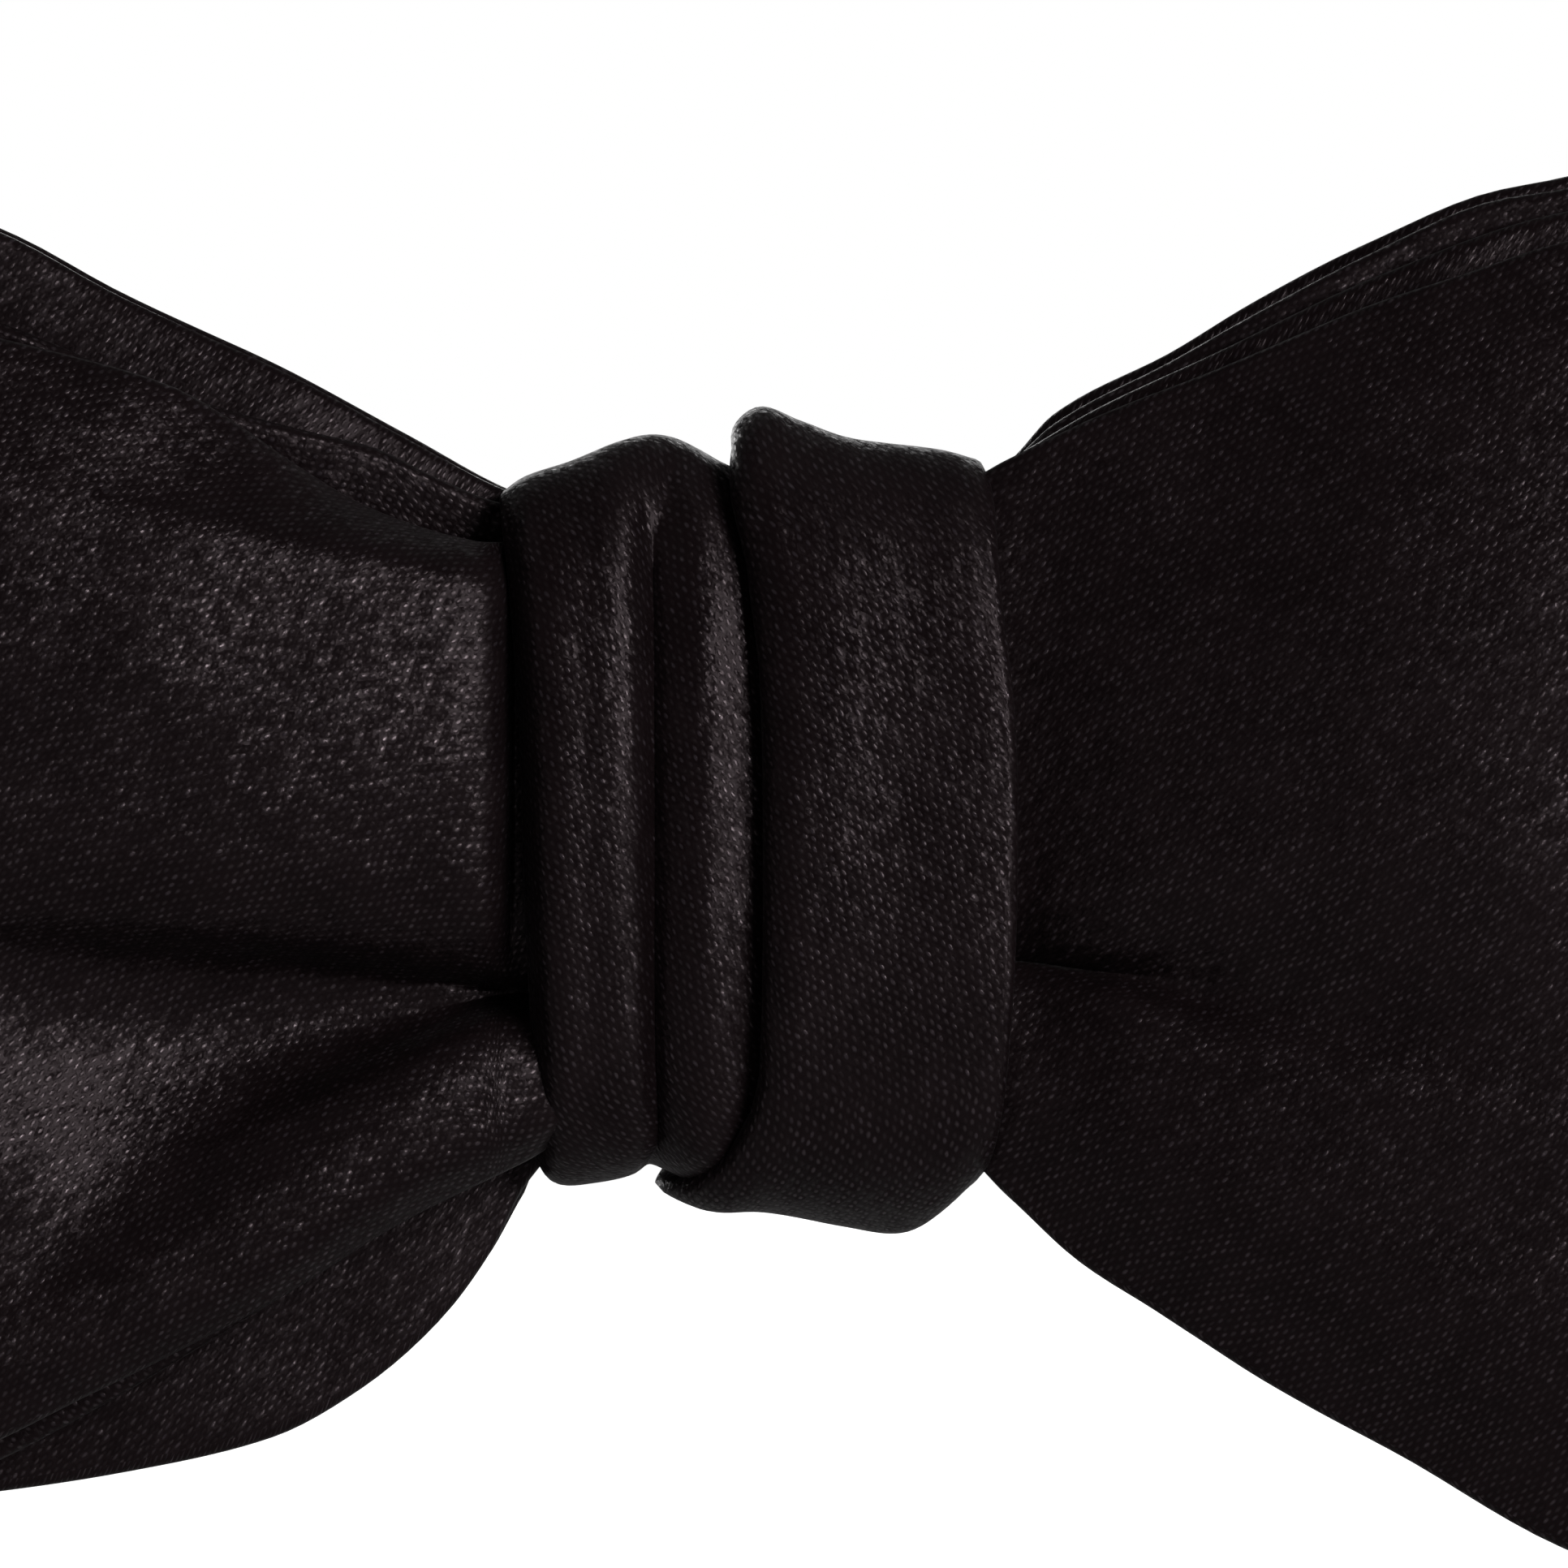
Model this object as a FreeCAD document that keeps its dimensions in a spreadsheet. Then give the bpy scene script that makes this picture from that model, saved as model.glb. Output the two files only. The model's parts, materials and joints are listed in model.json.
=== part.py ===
import FreeCAD
import Part
import Sketcher
import math
import os

# A pre-tied bow tie on an adjustable neckband, in its worn shape with the band unhooked at the nape.
# Frame: X to the wearer's left, Y back towards the wearer, Z up. The origin is the middle of the knot's
# back, where it bears on the collar button. The neckband is a ring about an upright axis behind the knot,
# and angles round it are counted from the knot towards +X, so the nape is at 180 degrees.

doc = FreeCAD.newDocument("bow_tie")
sheet = doc.addObject("Spreadsheet::Sheet", "sizes")

SIZES = [
    # cloth
    ("skin", 0.3, "one layer of satin"),
    ("interlining", 0.4, "the stiffener inside each folded strip"),
    ("ply", 1.0, "a folded strip: satin, interlining, satin"),
    ("seam_margin", 1.2, "how far an interlining stays inside its strip's folded edge"),
    ("play", 0.1, "clearance between pieces that lie on each other"),
    # bow
    ("bow_half_width", 60.0, "middle of the knot to a wing's end"),
    ("bow_top", 28.0, "height of the back bow's wings over the middle"),
    ("bow_droop", 31.5, "depth of the front bow's wings under the middle"),
    ("pinch_top", 11.3, "half height of the bows where the knot pinches them"),
    ("pinch_half_width", 9.8, "half width of the pinched stretch"),
    ("pinch_front", 12.0, "pinched front bow's face in front of the knot's back"),
    ("pinch_middle", 8.4, "where the two pinched bows lie on each other"),
    ("pinch_back", 4.95, "pinched back bow's back in front of the knot's back"),
    ("wing_blank", 40.0, "half height of a bow's strip before it is cut to its outline"),
    # knot
    ("knot_front", 15.0, "knot's face in front of its back"),
    ("knot_left", 9.4, "left edge of the knot"),
    ("knot_right", 9.5, "right edge of the knot"),
    ("left_panel_width", 5.6, "left pleat"),
    ("middle_roll_width", 2.9, "narrow roll between the pleats"),
    ("left_panel_top", 14.3, "left pleat over the middle"),
    ("left_panel_bottom", 13.6, "left pleat under the middle"),
    ("middle_roll_inset", 0.7, "how far the roll lies below the left pleat"),
    ("right_panel_top", 15.3, "right pleat over the middle"),
    ("right_panel_bottom", 15.5, "right pleat under the middle"),
    ("right_panel_proud", 0.8, "how far the right pleat stands in front of the left one"),
    ("knot_wall", 1.1, "knot strip's thickness"),
    ("knot_lining", 0.5, "knot interlining's thickness"),
    ("knot_bore_top", 12.4, "half height of the hole through the knot"),
    ("knot_corner", 3.0, "rounding of the knot over the top and bottom"),
    ("knot_flap", 0.9, "thickness of the flap that closes the knot's back"),
    ("flap_half_width", 8.2, "half width of the flap"),
    ("flap_top", 9.5, "flap's upper end"),
    ("flap_bottom", 5.5, "flap's sewn end, under the middle"),
    ("winding", 0.4, "gathering thread's thickness"),
    ("winding_pitch", 1.1, "spacing of the thread's turns"),
    ("winding_turns", 5, "turns of gathering thread"),
    # neckband
    ("neck_radius", 62.0, "ring axis to the middle of the band"),
    ("band_setback", 3.75, "middle of the band in front of the knot's back"),
    ("band_height", 20.0, "neckband's height"),
    ("left_half_start", 359.0, "angle where the half with the eye is sewn in behind the knot"),
    ("right_half_start", 2.0, "angle where the half with the adjuster is sewn in behind the knot"),
    ("lining_inset", 2.0, "angle from a half's ends to its interlining's ends"),
    ("eye_lining_end", 12.0, "angle from the eye to the interlining's end"),
    ("fixed_band_end", 80.0, "angle where the band's feeding stretch begins"),
    ("slide_angle", 118.0, "adjuster slide"),
    ("hook_angle", 163.0, "hook's bar"),
    ("eye_angle", 197.0, "eye's bar"),
    ("bar_radius", 0.9, "hook's and eye's bars"),
    ("bar_ring_radius", 60.4, "ring axis to the hook's and eye's bars"),
    ("loop_radius", 1.6, "middle of the cloth round a bar"),
    ("folded_radius", 60.8, "ring axis to the middle of the folded-back cloth"),
    ("return_bend", 5.0, "bend of the cloth where it returns from a bar to the folded radius"),
    ("return_angle", 9.0, "angle past a bar where the cloth lies at the folded radius"),
    ("tail_length", 14.0, "sewn tail past the eye"),
    # hardware
    ("slide_length", 14.0, "slide along the band"),
    ("hardware_height", 25.0, "slide, hook and eye across the band"),
    ("slot_height", 21.2, "slots that the band runs through"),
    ("slide_bar", 2.0, "width of the slide's bars"),
    ("slide_thickness", 1.6, "slide's stock"),
    ("slide_radius", 63.4, "ring axis to the middle of the slide"),
    ("slide_crest", 3.0, "middle of the cloth over the slide's middle bar, from the slide's middle"),
    ("crest_half_width", 3.3, "half width of the cloth's crest over the slide"),
    ("climb_angle", 5.0, "angle past the slide where the cloth lies on its ring"),
    ("climb_foot", 1.8, "run between the ring and the climb"),
    ("wrap_half_width", 1.85, "middle of the slide's middle bar to the cloth wrapped round it"),
    ("wrap_tail_radius", 59.6, "ring axis to the wrapped end's tail"),
    ("wrap_tail_angle", 11.5, "angle past the slide where the wrapped end's tail ends"),
    ("hook_stock", 1.2, "hook's stock"),
    ("hook_frame_length", 6.0, "hook's bar to the end of its frame"),
    ("hook_window_end", 4.4, "hook's bar to the end of its window"),
    ("hook_reach", 12.0, "hook's bar to the middle of its bend"),
    ("hook_bend", 1.2, "inside radius of the hook's bend"),
    ("hook_return", 5.0, "how far the tongue comes back"),
    ("tongue_width", 7.0, "hook's tongue"),
    ("eye_depth", 8.0, "eye's bar to its far side"),
    ("eye_corner", 1.8, "bend at the eye's corners"),
    ("thread", 0.3, "sewing thread lying on the cloth"),
    ("stitch_length", 1.5, "one stitch"),
    ("stitch_gap", 0.5, "gap between stitches"),
    ("flap_stitches", 7, "stitches along the flap's sewn end"),
    ("tack_height", 16.0, "rows of stitches that hold a folded end"),
    ("tack_half_width", 1.2, "half the distance between a tack's two rows"),
    ("eye_tack_angle", 11.0, "angle from the eye to its tack"),
    ("slide_tack_angle", 8.0, "angle from the slide to its tack"),
]

for row, (alias, value, meaning) in enumerate(SIZES, start=1):
    sheet.set(f"A{row}", alias)
    sheet.set(f"B{row}", str(value))
    sheet.set(f"C{row}", meaning)
    sheet.setAlias(f"B{row}", alias)
doc.recompute()


def size(alias):
    return float(sheet.get(alias))


UP = FreeCAD.Vector(0, 0, 1)
RING_CENTRE = FreeCAD.Vector(0, size("neck_radius") - size("band_setback"), 0)
nodes = []


def keep(shape_object, label):
    """Gives a finished sub-part its node name."""
    shape_object.Label = label
    nodes.append(shape_object)
    return shape_object


def round_the_ring(angle):
    """Placement of a piece drawn at the ring's front, turned to its own angle."""
    return FreeCAD.Placement(RING_CENTRE, FreeCAD.Rotation(UP, angle))


# ---------------------------------------------------------------- building blocks


def box(label, x, y, z):
    """Part::Box from (low, high) pairs of expressions."""
    block = doc.addObject("Part::Box", label)
    for axis, name, (low, high) in (("x", "Length", x), ("y", "Width", y), ("z", "Height", z)):
        block.setExpression(name, f"({high}) - ({low})")
        block.setExpression(f"Placement.Base.{axis}", low)
    return block


def joined(kind, label, *parts):
    """A Part boolean of several objects."""
    result = doc.addObject(kind, label)
    result.Shapes = list(parts)
    return result


def cut(label, base, tool):
    result = doc.addObject("Part::Cut", label)
    result.Base = base
    result.Tool = tool
    return result


def path_pieces(corners, closed):
    """Straight runs joined by tangent arcs, as (start, middle, end, the corner or None) in path order.

    corners holds (point, arc radius); an open path's two ends have radius 0.
    """
    count = len(corners)
    points = [FreeCAD.Vector(*point) for point, _ in corners]
    arcs = []
    for i, (_, radius) in enumerate(corners):
        if radius == 0:
            arcs.append((points[i], points[i], points[i], points[i]))
            continue
        before = (points[i - 1] - points[i]).normalize()
        after = (points[(i + 1) % count] - points[i]).normalize()
        half = before.getAngle(after) / 2
        reach = radius / math.tan(half)
        middle = points[i] + (before + after).normalize() * (radius / math.sin(half) - radius)
        arcs.append((points[i] + before * reach, middle, points[i] + after * reach, points[i]))
    pieces = []
    for i in range(count):
        start, end = arcs[i - 1][2], arcs[i][0]
        if (closed or i > 0) and start.distanceToPoint(end) > 1e-6:
            pieces.append((start, (start + end) / 2, end, None))
        if corners[i][1] > 0:
            pieces.append(arcs[i])
    return pieces


def piece_edge(piece, aside=0.0):
    """Edge of one piece of a path, moved to the path's right by aside."""
    start, middle, end, corner = piece
    along = (end - start).normalize()
    first = (corner - start).normalize() if corner else along
    last = (end - corner).normalize() if corner else along
    moved = [
        point + direction.cross(UP) * aside
        for point, direction in ((start, first), (middle, along), (end, last))
    ]
    if corner:
        return Part.Arc(*moved).toShape()
    return Part.LineSegment(moved[0], moved[2]).toShape()


def rounded_wire(corners):
    """Closed wire of straight runs and tangent arcs."""
    return Part.Wire([piece_edge(piece) for piece in path_pieces(corners, closed=True)])


def strip(corners, thickness, height):
    """A strip of cloth of that thickness along a path seen from above, stood on edge."""
    pieces = path_pieces(corners, closed=False)
    right = [piece_edge(piece, thickness / 2) for piece in pieces]
    left = [piece_edge(piece, -thickness / 2) for piece in pieces]
    ends = [
        Part.LineSegment(a.Vertexes[vertex].Point, b.Vertexes[vertex].Point).toShape()
        for a, b, vertex in ((right[0], left[0], 0), (right[-1], left[-1], -1))
    ]
    face = Part.Face(Part.Wire(Part.__sortEdges__(right + left + ends)))
    face.translate(FreeCAD.Vector(0, 0, -height / 2))
    return face.extrude(UP * height)


def sketch_in(body, role, name, offset=0.0):
    """A sketch on one of the body's own origin planes, moved along its normal."""
    plane = next(f for f in body.Origin.OriginFeatures if f.Role == role)
    sketch = body.newObject("Sketcher::SketchObject", name)
    sketch.AttachmentSupport = [(plane, "")]
    sketch.MapMode = "FlatFace"
    sketch.AttachmentOffset = FreeCAD.Placement(FreeCAD.Vector(0, 0, offset), FreeCAD.Rotation())
    return sketch


def rectangle(sketch, name, left, right, bottom, top):
    """A rectangle whose four sides are held at expressions from the sketch's origin."""
    corners = [(-1, -1), (1, -1), (1, 1), (-1, 1)]
    first = sketch.GeometryCount
    for i in range(4):
        (x0, y0), (x1, y1) = corners[i], corners[(i + 1) % 4]
        sketch.addGeometry(Part.LineSegment(FreeCAD.Vector(x0, y0, 0), FreeCAD.Vector(x1, y1, 0)))
    for i in range(4):
        sketch.addConstraint(Sketcher.Constraint("Coincident", first + i, 2, first + (i + 1) % 4, 1))
    for i in (0, 2):
        sketch.addConstraint(Sketcher.Constraint("Horizontal", first + i))
        sketch.addConstraint(Sketcher.Constraint("Vertical", first + i + 1))
    for kind, vertex, word, expression in (
        ("DistanceX", first, "left", left),
        ("DistanceY", first, "bottom", bottom),
        ("DistanceX", first + 2, "right", right),
        ("DistanceY", first + 2, "top", top),
    ):
        value = sheet_value(expression)
        index = sketch.addConstraint(Sketcher.Constraint(kind, -1, 1, vertex, 1, value))
        sketch.renameConstraint(index, f"{name}_{word}")
        sketch.setExpression(f"Constraints.{name}_{word}", expression)


def sheet_value(expression):
    """Number that an expression over the sheet gives now."""
    value = sheet.evalExpression(expression)
    return float(getattr(value, "Value", value))


# ---------------------------------------------------------------- the two bows


def bow_loop(name, plan, outline):
    """A strip of cloth folded into a loop: its plan stood upright and cut to the bow's outline.

    plan is the loop's outer side for x >= 0 as (x, y, corner radius), from its front middle round to its
    back middle. outline is (x, z, corner radius) all the way round, seen from the front.
    """
    mirrored = [(-x, y, radius) for x, y, radius in reversed(plan)]
    loop = mirrored + list(plan)
    plan_wire = doc.addObject("Part::Feature", f"{name}_plan")
    plan_wire.Shape = rounded_wire([((x, y, 0), radius) for x, y, radius in loop])
    outline_wire = doc.addObject("Part::Feature", f"{name}_outline")
    outline_wire.Shape = rounded_wire([((x, 0, z), radius) for x, z, radius in outline])

    strip = loop_layer(f"{name}_strip", plan_wire, None, "ply", outline_wire, None)
    inside = loop_layer(f"{name}_inside", plan_wire, "skin", "interlining", outline_wire, "seam_margin")
    keep(cut(f"{name}_cover", strip, inside), name)
    keep(inside, f"{name}_interlining")


def loop_layer(name, plan_wire, depth, thickness, outline_wire, margin):
    """One layer of a folded loop: depth inside the plan, thickness thick, margin inside the outline."""
    start = plan_wire
    if depth:
        start = doc.addObject("Part::Offset2D", f"{name}_start")
        start.Source = plan_wire
        start.setExpression("Value", f"-sizes.{depth}")
    ring = doc.addObject("Part::Offset2D", f"{name}_ring")
    ring.Source = start
    ring.Fill = True
    ring.setExpression("Value", f"-sizes.{thickness}")
    wall = doc.addObject("Part::Extrusion", f"{name}_wall")
    wall.Base = ring
    wall.Dir = UP
    wall.Symmetric = True
    wall.Solid = True
    wall.setExpression("LengthFwd", "2 * sizes.wing_blank")

    cutter_wire = outline_wire
    if margin:
        cutter_wire = doc.addObject("Part::Offset2D", f"{name}_edge")
        cutter_wire.Source = outline_wire
        cutter_wire.setExpression("Value", f"-sizes.{margin}")
    cutter = doc.addObject("Part::Extrusion", f"{name}_cutter")
    cutter.Base = cutter_wire
    cutter.Dir = FreeCAD.Vector(0, 1, 0)
    cutter.Symmetric = True
    cutter.Solid = True
    cutter.setExpression("LengthFwd", "2 * sizes.wing_blank")
    return joined("Part::MultiCommon", name, wall, cutter)


END = size("bow_half_width")
PINCH = size("pinch_half_width")
TOP = size("bow_top")
DROOP = size("bow_droop")
WAIST = size("pinch_top")
GAP = size("play")

FRONT_PLAN = [
    (PINCH, -size("pinch_front"), 20),
    (0.50 * END, -16.6, 60),
    (0.80 * END, -15.8, 40),
    (END - 1.0, -13.2, 1.9),
    (END - 1.0, -9.4, 1.9),
    (0.75 * END, -9.2, 40),
    (PINCH, -size("pinch_middle") - GAP / 2, 20),
]
BACK_PLAN = [
    (PINCH, -size("pinch_middle") + GAP / 2, 20),
    (0.75 * END, -8.3, 40),
    (END, -6.2, 1.9),
    (END, -2.2, 1.9),
    (0.50 * END, -1.6, 40),
    (1.5 * PINCH, -4.85, 20),
    (PINCH, -size("pinch_back"), 8),
]
# the wings droop a little, the right one more than the left
FRONT_OUTLINE = [
    (PINCH, WAIST, 8),
    (0.50 * END, 0.77 * TOP, 60),
    (END + 1, 0.82 * TOP, 7),
    (END - 3, -0.98 * DROOP, 6),
    (0.76 * END, -DROOP, 10),
    (PINCH, -WAIST, 8),
    (-PINCH, -WAIST, 8),
    (-0.55 * END, -0.83 * DROOP, 40),
    (-END + 3, -0.90 * DROOP, 9),
    (-END - 1, 0.80 * TOP, 7),
    (-0.50 * END, 0.66 * TOP, 40),
    (-PINCH, WAIST - 0.6, 8),
]
BACK_OUTLINE = [
    (PINCH, WAIST, 8),
    (0.46 * END, 0.87 * TOP, 30),
    (END - 1, 0.97 * TOP, 8),
    (END + 1, -0.80 * DROOP, 9),
    (0.55 * END, -0.74 * DROOP, 30),
    (PINCH, -WAIST, 8),
    (-PINCH, -WAIST, 4),
    (-0.27 * END, -0.73 * DROOP, 12),
    (-END - 1, -0.84 * DROOP, 9),
    (-END + 1, TOP, 8),
    (-0.72 * END, TOP, 12),
    (-PINCH, WAIST - 0.4, 8),
]

bow_loop("front_bow", FRONT_PLAN, FRONT_OUTLINE)
bow_loop("back_bow", BACK_PLAN, BACK_OUTLINE)


# ---------------------------------------------------------------- gathering thread round the pinched bows


def winding_turns():
    """Turns of thread, side by side, round both bows where they are gathered."""
    turns = []
    thick = size("winding")
    front = -size("pinch_front") - GAP
    back = -size("pinch_back") + GAP
    half = WAIST + GAP
    for n in range(int(size("winding_turns"))):
        x = (n - (size("winding_turns") - 1) / 2) * size("winding_pitch")
        outer = Part.makeBox(thick, back - front + 2 * thick, 2 * (half + thick))
        outer.translate(FreeCAD.Vector(x - thick / 2, front - thick, -half - thick))
        inner = Part.makeBox(thick * 3, back - front, 2 * half)
        inner.translate(FreeCAD.Vector(x - thick * 1.5, front, -half))
        turns.append(outer.cut(inner))
    return Part.makeCompound(turns)


thread = doc.addObject("Part::Feature", "winding_turns_shape")
thread.Shape = winding_turns()
keep(thread, "gathering_thread")


# ---------------------------------------------------------------- knot


def rounded_block(label, x, y, z, corner):
    """A block whose four edges along X are rounded."""
    block = box(f"{label}_block", x, y, z)
    doc.recompute()
    along = [
        (number, size(corner), size(corner))
        for number, edge in enumerate(block.Shape.Edges, start=1)
        if edge.BoundBox.XLength > 1e-6
    ]
    fillet = doc.addObject("Part::Fillet", label)
    fillet.Base = block
    fillet.Edges = along
    return fillet


BORE_FRONT = "-sizes.knot_front + sizes.right_panel_proud + sizes.knot_wall"
BORE_BACK = "-sizes.knot_flap - sizes.knot_wall"
BORE_TOP = "sizes.knot_bore_top"
LEFT_EDGE = "-sizes.knot_left"
ROLL_EDGE = f"{LEFT_EDGE} + sizes.left_panel_width"
RIGHT_EDGE = f"{ROLL_EDGE} + sizes.middle_roll_width"

pleats = [
    rounded_block(
        "left_pleat", (LEFT_EDGE, ROLL_EDGE),
        ("-sizes.knot_front + sizes.right_panel_proud", "-sizes.knot_flap"),
        ("-sizes.left_panel_bottom", "sizes.left_panel_top"), "knot_corner"),
    rounded_block(
        "middle_roll", (ROLL_EDGE, RIGHT_EDGE),
        ("-sizes.knot_front + sizes.right_panel_proud + sizes.middle_roll_inset", "-sizes.knot_flap"),
        ("-sizes.left_panel_bottom", "sizes.left_panel_top - sizes.middle_roll_inset / 2"), "knot_corner"),
    rounded_block(
        "right_pleat", (RIGHT_EDGE, "sizes.knot_right"), ("-sizes.knot_front", "-sizes.knot_flap"),
        ("-sizes.right_panel_bottom", "sizes.right_panel_top"), "knot_corner"),
    box("closing_flap", ("-sizes.flap_half_width", "sizes.flap_half_width"),
        ("-sizes.knot_flap - sizes.play", "0"), ("-sizes.flap_bottom", "sizes.flap_top")),
]
bore = rounded_block(
    "knot_bore", (f"{LEFT_EDGE} - 1", "sizes.knot_right + 1"), (BORE_FRONT, BORE_BACK),
    (f"-{BORE_TOP}", BORE_TOP), "knot_lining")
keep(cut("knot_cover", joined("Part::MultiFuse", "knot_pleats", *pleats), bore), "knot_wrap")

lining = rounded_block(
    "lining_outside",
    (f"{LEFT_EDGE} + sizes.seam_margin", "sizes.knot_right - sizes.seam_margin"),
    (BORE_FRONT, BORE_BACK), (f"-{BORE_TOP}", BORE_TOP), "knot_lining")
lining_bore = box(
    "lining_bore", (f"{LEFT_EDGE} - 1", "sizes.knot_right + 1"),
    (f"{BORE_FRONT} + sizes.knot_lining", f"{BORE_BACK} - sizes.knot_lining"),
    (f"-{BORE_TOP} + sizes.knot_lining", f"{BORE_TOP} - sizes.knot_lining"))
keep(cut("knot_lining_ring", lining, lining_bore), "knot_interlining")


# ---------------------------------------------------------------- stitches


def stitch_rows(label, rows, place=FreeCAD.Placement()):
    """Sewing stitches as separate short bars. rows holds (start, direction, face normal, count)."""
    bars = []
    long, thick = size("stitch_length"), size("thread")
    for start, along, normal, count in rows:
        across = along.cross(normal)
        for n in range(count):
            low = start + along * (n * (long + size("stitch_gap")))
            corners = [low - across * (thick / 2), low + across * (thick / 2)]
            corners += [corners[1] + along * long, corners[0] + along * long]
            bar = Part.Face(Part.makePolygon(corners + corners[:1])).extrude(normal * thick)
            bars.append(bar)
    stitches = doc.addObject("Part::Feature", f"{label}_bars")
    stitches.Shape = Part.makeCompound(bars)
    stitches.Placement = place
    return keep(stitches, label)


X = FreeCAD.Vector(1, 0, 0)
Y = FreeCAD.Vector(0, 1, 0)
flap_edge = FreeCAD.Vector(
    -size("flap_half_width") + 1.0, -size("knot_flap"), -size("flap_bottom") - size("thread")
)
stitch_rows("knot_stitches", [(flap_edge, X, Y, int(size("flap_stitches")))])


# ---------------------------------------------------------------- neckband


def at(angle, radius):
    """Point of the ring's middle plane at that angle round it."""
    turn = math.radians(angle)
    return RING_CENTRE + FreeCAD.Vector(radius * math.sin(turn), -radius * math.cos(turn), 0)


def beside(angle, along, radius):
    """Point beside a piece of hardware at that angle: along the band from it, and out from the ring's axis."""
    return round_the_ring(angle).multVec(FreeCAD.Vector(along, -radius, 0))


def ring_run(radius, start, end, longest=50.0):
    """Corners of a run along the ring at one radius, in arcs of no more than that many degrees."""
    count = math.ceil(abs(end - start) / longest)
    half = (end - start) / count / 2
    corner_radius = radius / math.cos(math.radians(half))
    return [(at(start + half * (2 * n + 1), corner_radius), radius) for n in range(count)]


def round_bar(angle, way):
    """Corners of the cloth's fold round the bar at that angle, and of its return to the folded radius."""
    back = size("bar_ring_radius") - size("loop_radius")
    fold = size("loop_radius")
    ease = size("return_bend")
    return [
        (beside(angle, way * fold, NECK), fold),
        (beside(angle, way * fold, back), fold),
        (beside(angle, -way * ease / 2, back), ease),
        (beside(angle - way * size("return_angle"), way * ease / 2, FOLDED), ease),
    ]


def band(label, path, stiffened=None):
    """A stretch of neckband. stiffened is the path of the band's interlining inside it."""
    cover = doc.addObject("Part::Feature", f"{label}_strip")
    cover.Shape = strip(path, size("ply"), size("band_height"))
    if stiffened is None:
        return keep(cover, label)
    inside = doc.addObject("Part::Feature", f"{label}_inside")
    inside.Shape = strip(stiffened, size("interlining"), size("band_height") - 2 * size("seam_margin"))
    keep(cut(f"{label}_cover", cover, inside), label)
    return keep(inside, f"{label}_interlining")


NECK = size("neck_radius")
FOLDED = size("folded_radius")
HOOK = size("hook_angle")
EYE = size("eye_angle")
SLIDE = size("slide_angle")
FEED = size("fixed_band_end")
INSET = size("lining_inset")


def turned_by(length):
    """Angle round the ring that a length of band takes."""
    return math.degrees(length / NECK)


def ring_path(start, end):
    """Path of a plain stretch of band, with its two ends."""
    return [(at(start, NECK), 0)] + ring_run(NECK, start, end) + [(at(end, NECK), 0)]


# the half with the eye goes round the wearer's right side, folds round the eye's bar and is sewn down
LEFT = size("left_half_start")
band(
    "neckband_left",
    ring_path(LEFT, EYE)[:-1] + round_bar(EYE, -1)
    + [(at(EYE + turned_by(size("tail_length")), FOLDED), 0)],
    ring_path(LEFT - INSET, EYE + size("eye_lining_end")),
)

# the half with the adjuster is plain up to its feeding stretch
RIGHT = size("right_half_start")
band(
    "neckband_right",
    ring_path(RIGHT, FEED - turned_by(GAP)),
    ring_path(RIGHT + INSET, FEED - 2 * INSET),
)

# the cloth climbs over the slide's wrapped middle bar and down again
CLIMB = size("climb_angle")


def climb(side):
    """Corners of the cloth from the slide's crest down to the ring, on one side of the slide."""
    crest = size("slide_radius") + size("slide_crest")
    foot = size("climb_foot")
    return [
        (beside(SLIDE, side * GAP, crest), 0),
        (beside(SLIDE, side * size("crest_half_width"), crest), foot),
        (beside(SLIDE + side * CLIMB, -side * foot, NECK), foot / 2),
    ]


band(
    "strap_feed",
    [(at(FEED, NECK), 0)] + ring_run(NECK, FEED, SLIDE - CLIMB) + climb(-1)[::-1],
)

# the doubled loop: over the slide, out round the hook's bar, back inside, round the slide's middle bar
WRAP = size("wrap_half_width")
TAIL = size("wrap_tail_radius")
leaving = math.radians(CLIMB)
foot_radius = (FOLDED - WRAP * math.sin(leaving)) / math.cos(leaving)
wrap_top = size("slide_radius") + WRAP
around_middle_bar = [
    (beside(SLIDE, WRAP, foot_radius), WRAP / 3),
    (beside(SLIDE, WRAP, wrap_top), WRAP),
    (beside(SLIDE, -WRAP, wrap_top), WRAP),
    (beside(SLIDE, -WRAP, TAIL), WRAP / 2),
    (at(SLIDE + CLIMB, TAIL), 4 * WRAP),
    (at(SLIDE + size("wrap_tail_angle"), TAIL), 0),
]
band(
    "strap_loop",
    climb(1) + ring_run(NECK, SLIDE + CLIMB, HOOK) + round_bar(HOOK, 1)
    + ring_run(FOLDED, HOOK - size("return_angle"), SLIDE + CLIMB) + around_middle_bar,
)


def tack(label, angle, cloth_radius):
    """Two upright rows of stitches on the neck side of the folded-back cloth."""
    height = size("tack_height")
    count = int(height / (size("stitch_length") + size("stitch_gap")))
    radius = cloth_radius - size("ply") / 2 - GAP
    rows = []
    for side in (-1, 1):
        low = FreeCAD.Vector(side * size("tack_half_width"), -radius, (size("stitch_gap") - height) / 2)
        rows.append((low, UP, Y, count))
    return stitch_rows(label, rows, round_the_ring(angle))


tack("eye_tack", EYE + size("eye_tack_angle"), FOLDED)
tack("slide_tack", SLIDE + size("slide_tack_angle"), TAIL)


# ---------------------------------------------------------------- metal


def hardware_body(label, angle):
    """A body drawn at the ring's front and turned to its own place."""
    body = doc.addObject("PartDesign::Body", f"{label}_body")
    body.Placement = round_the_ring(angle)
    return keep(body, label)


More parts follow.
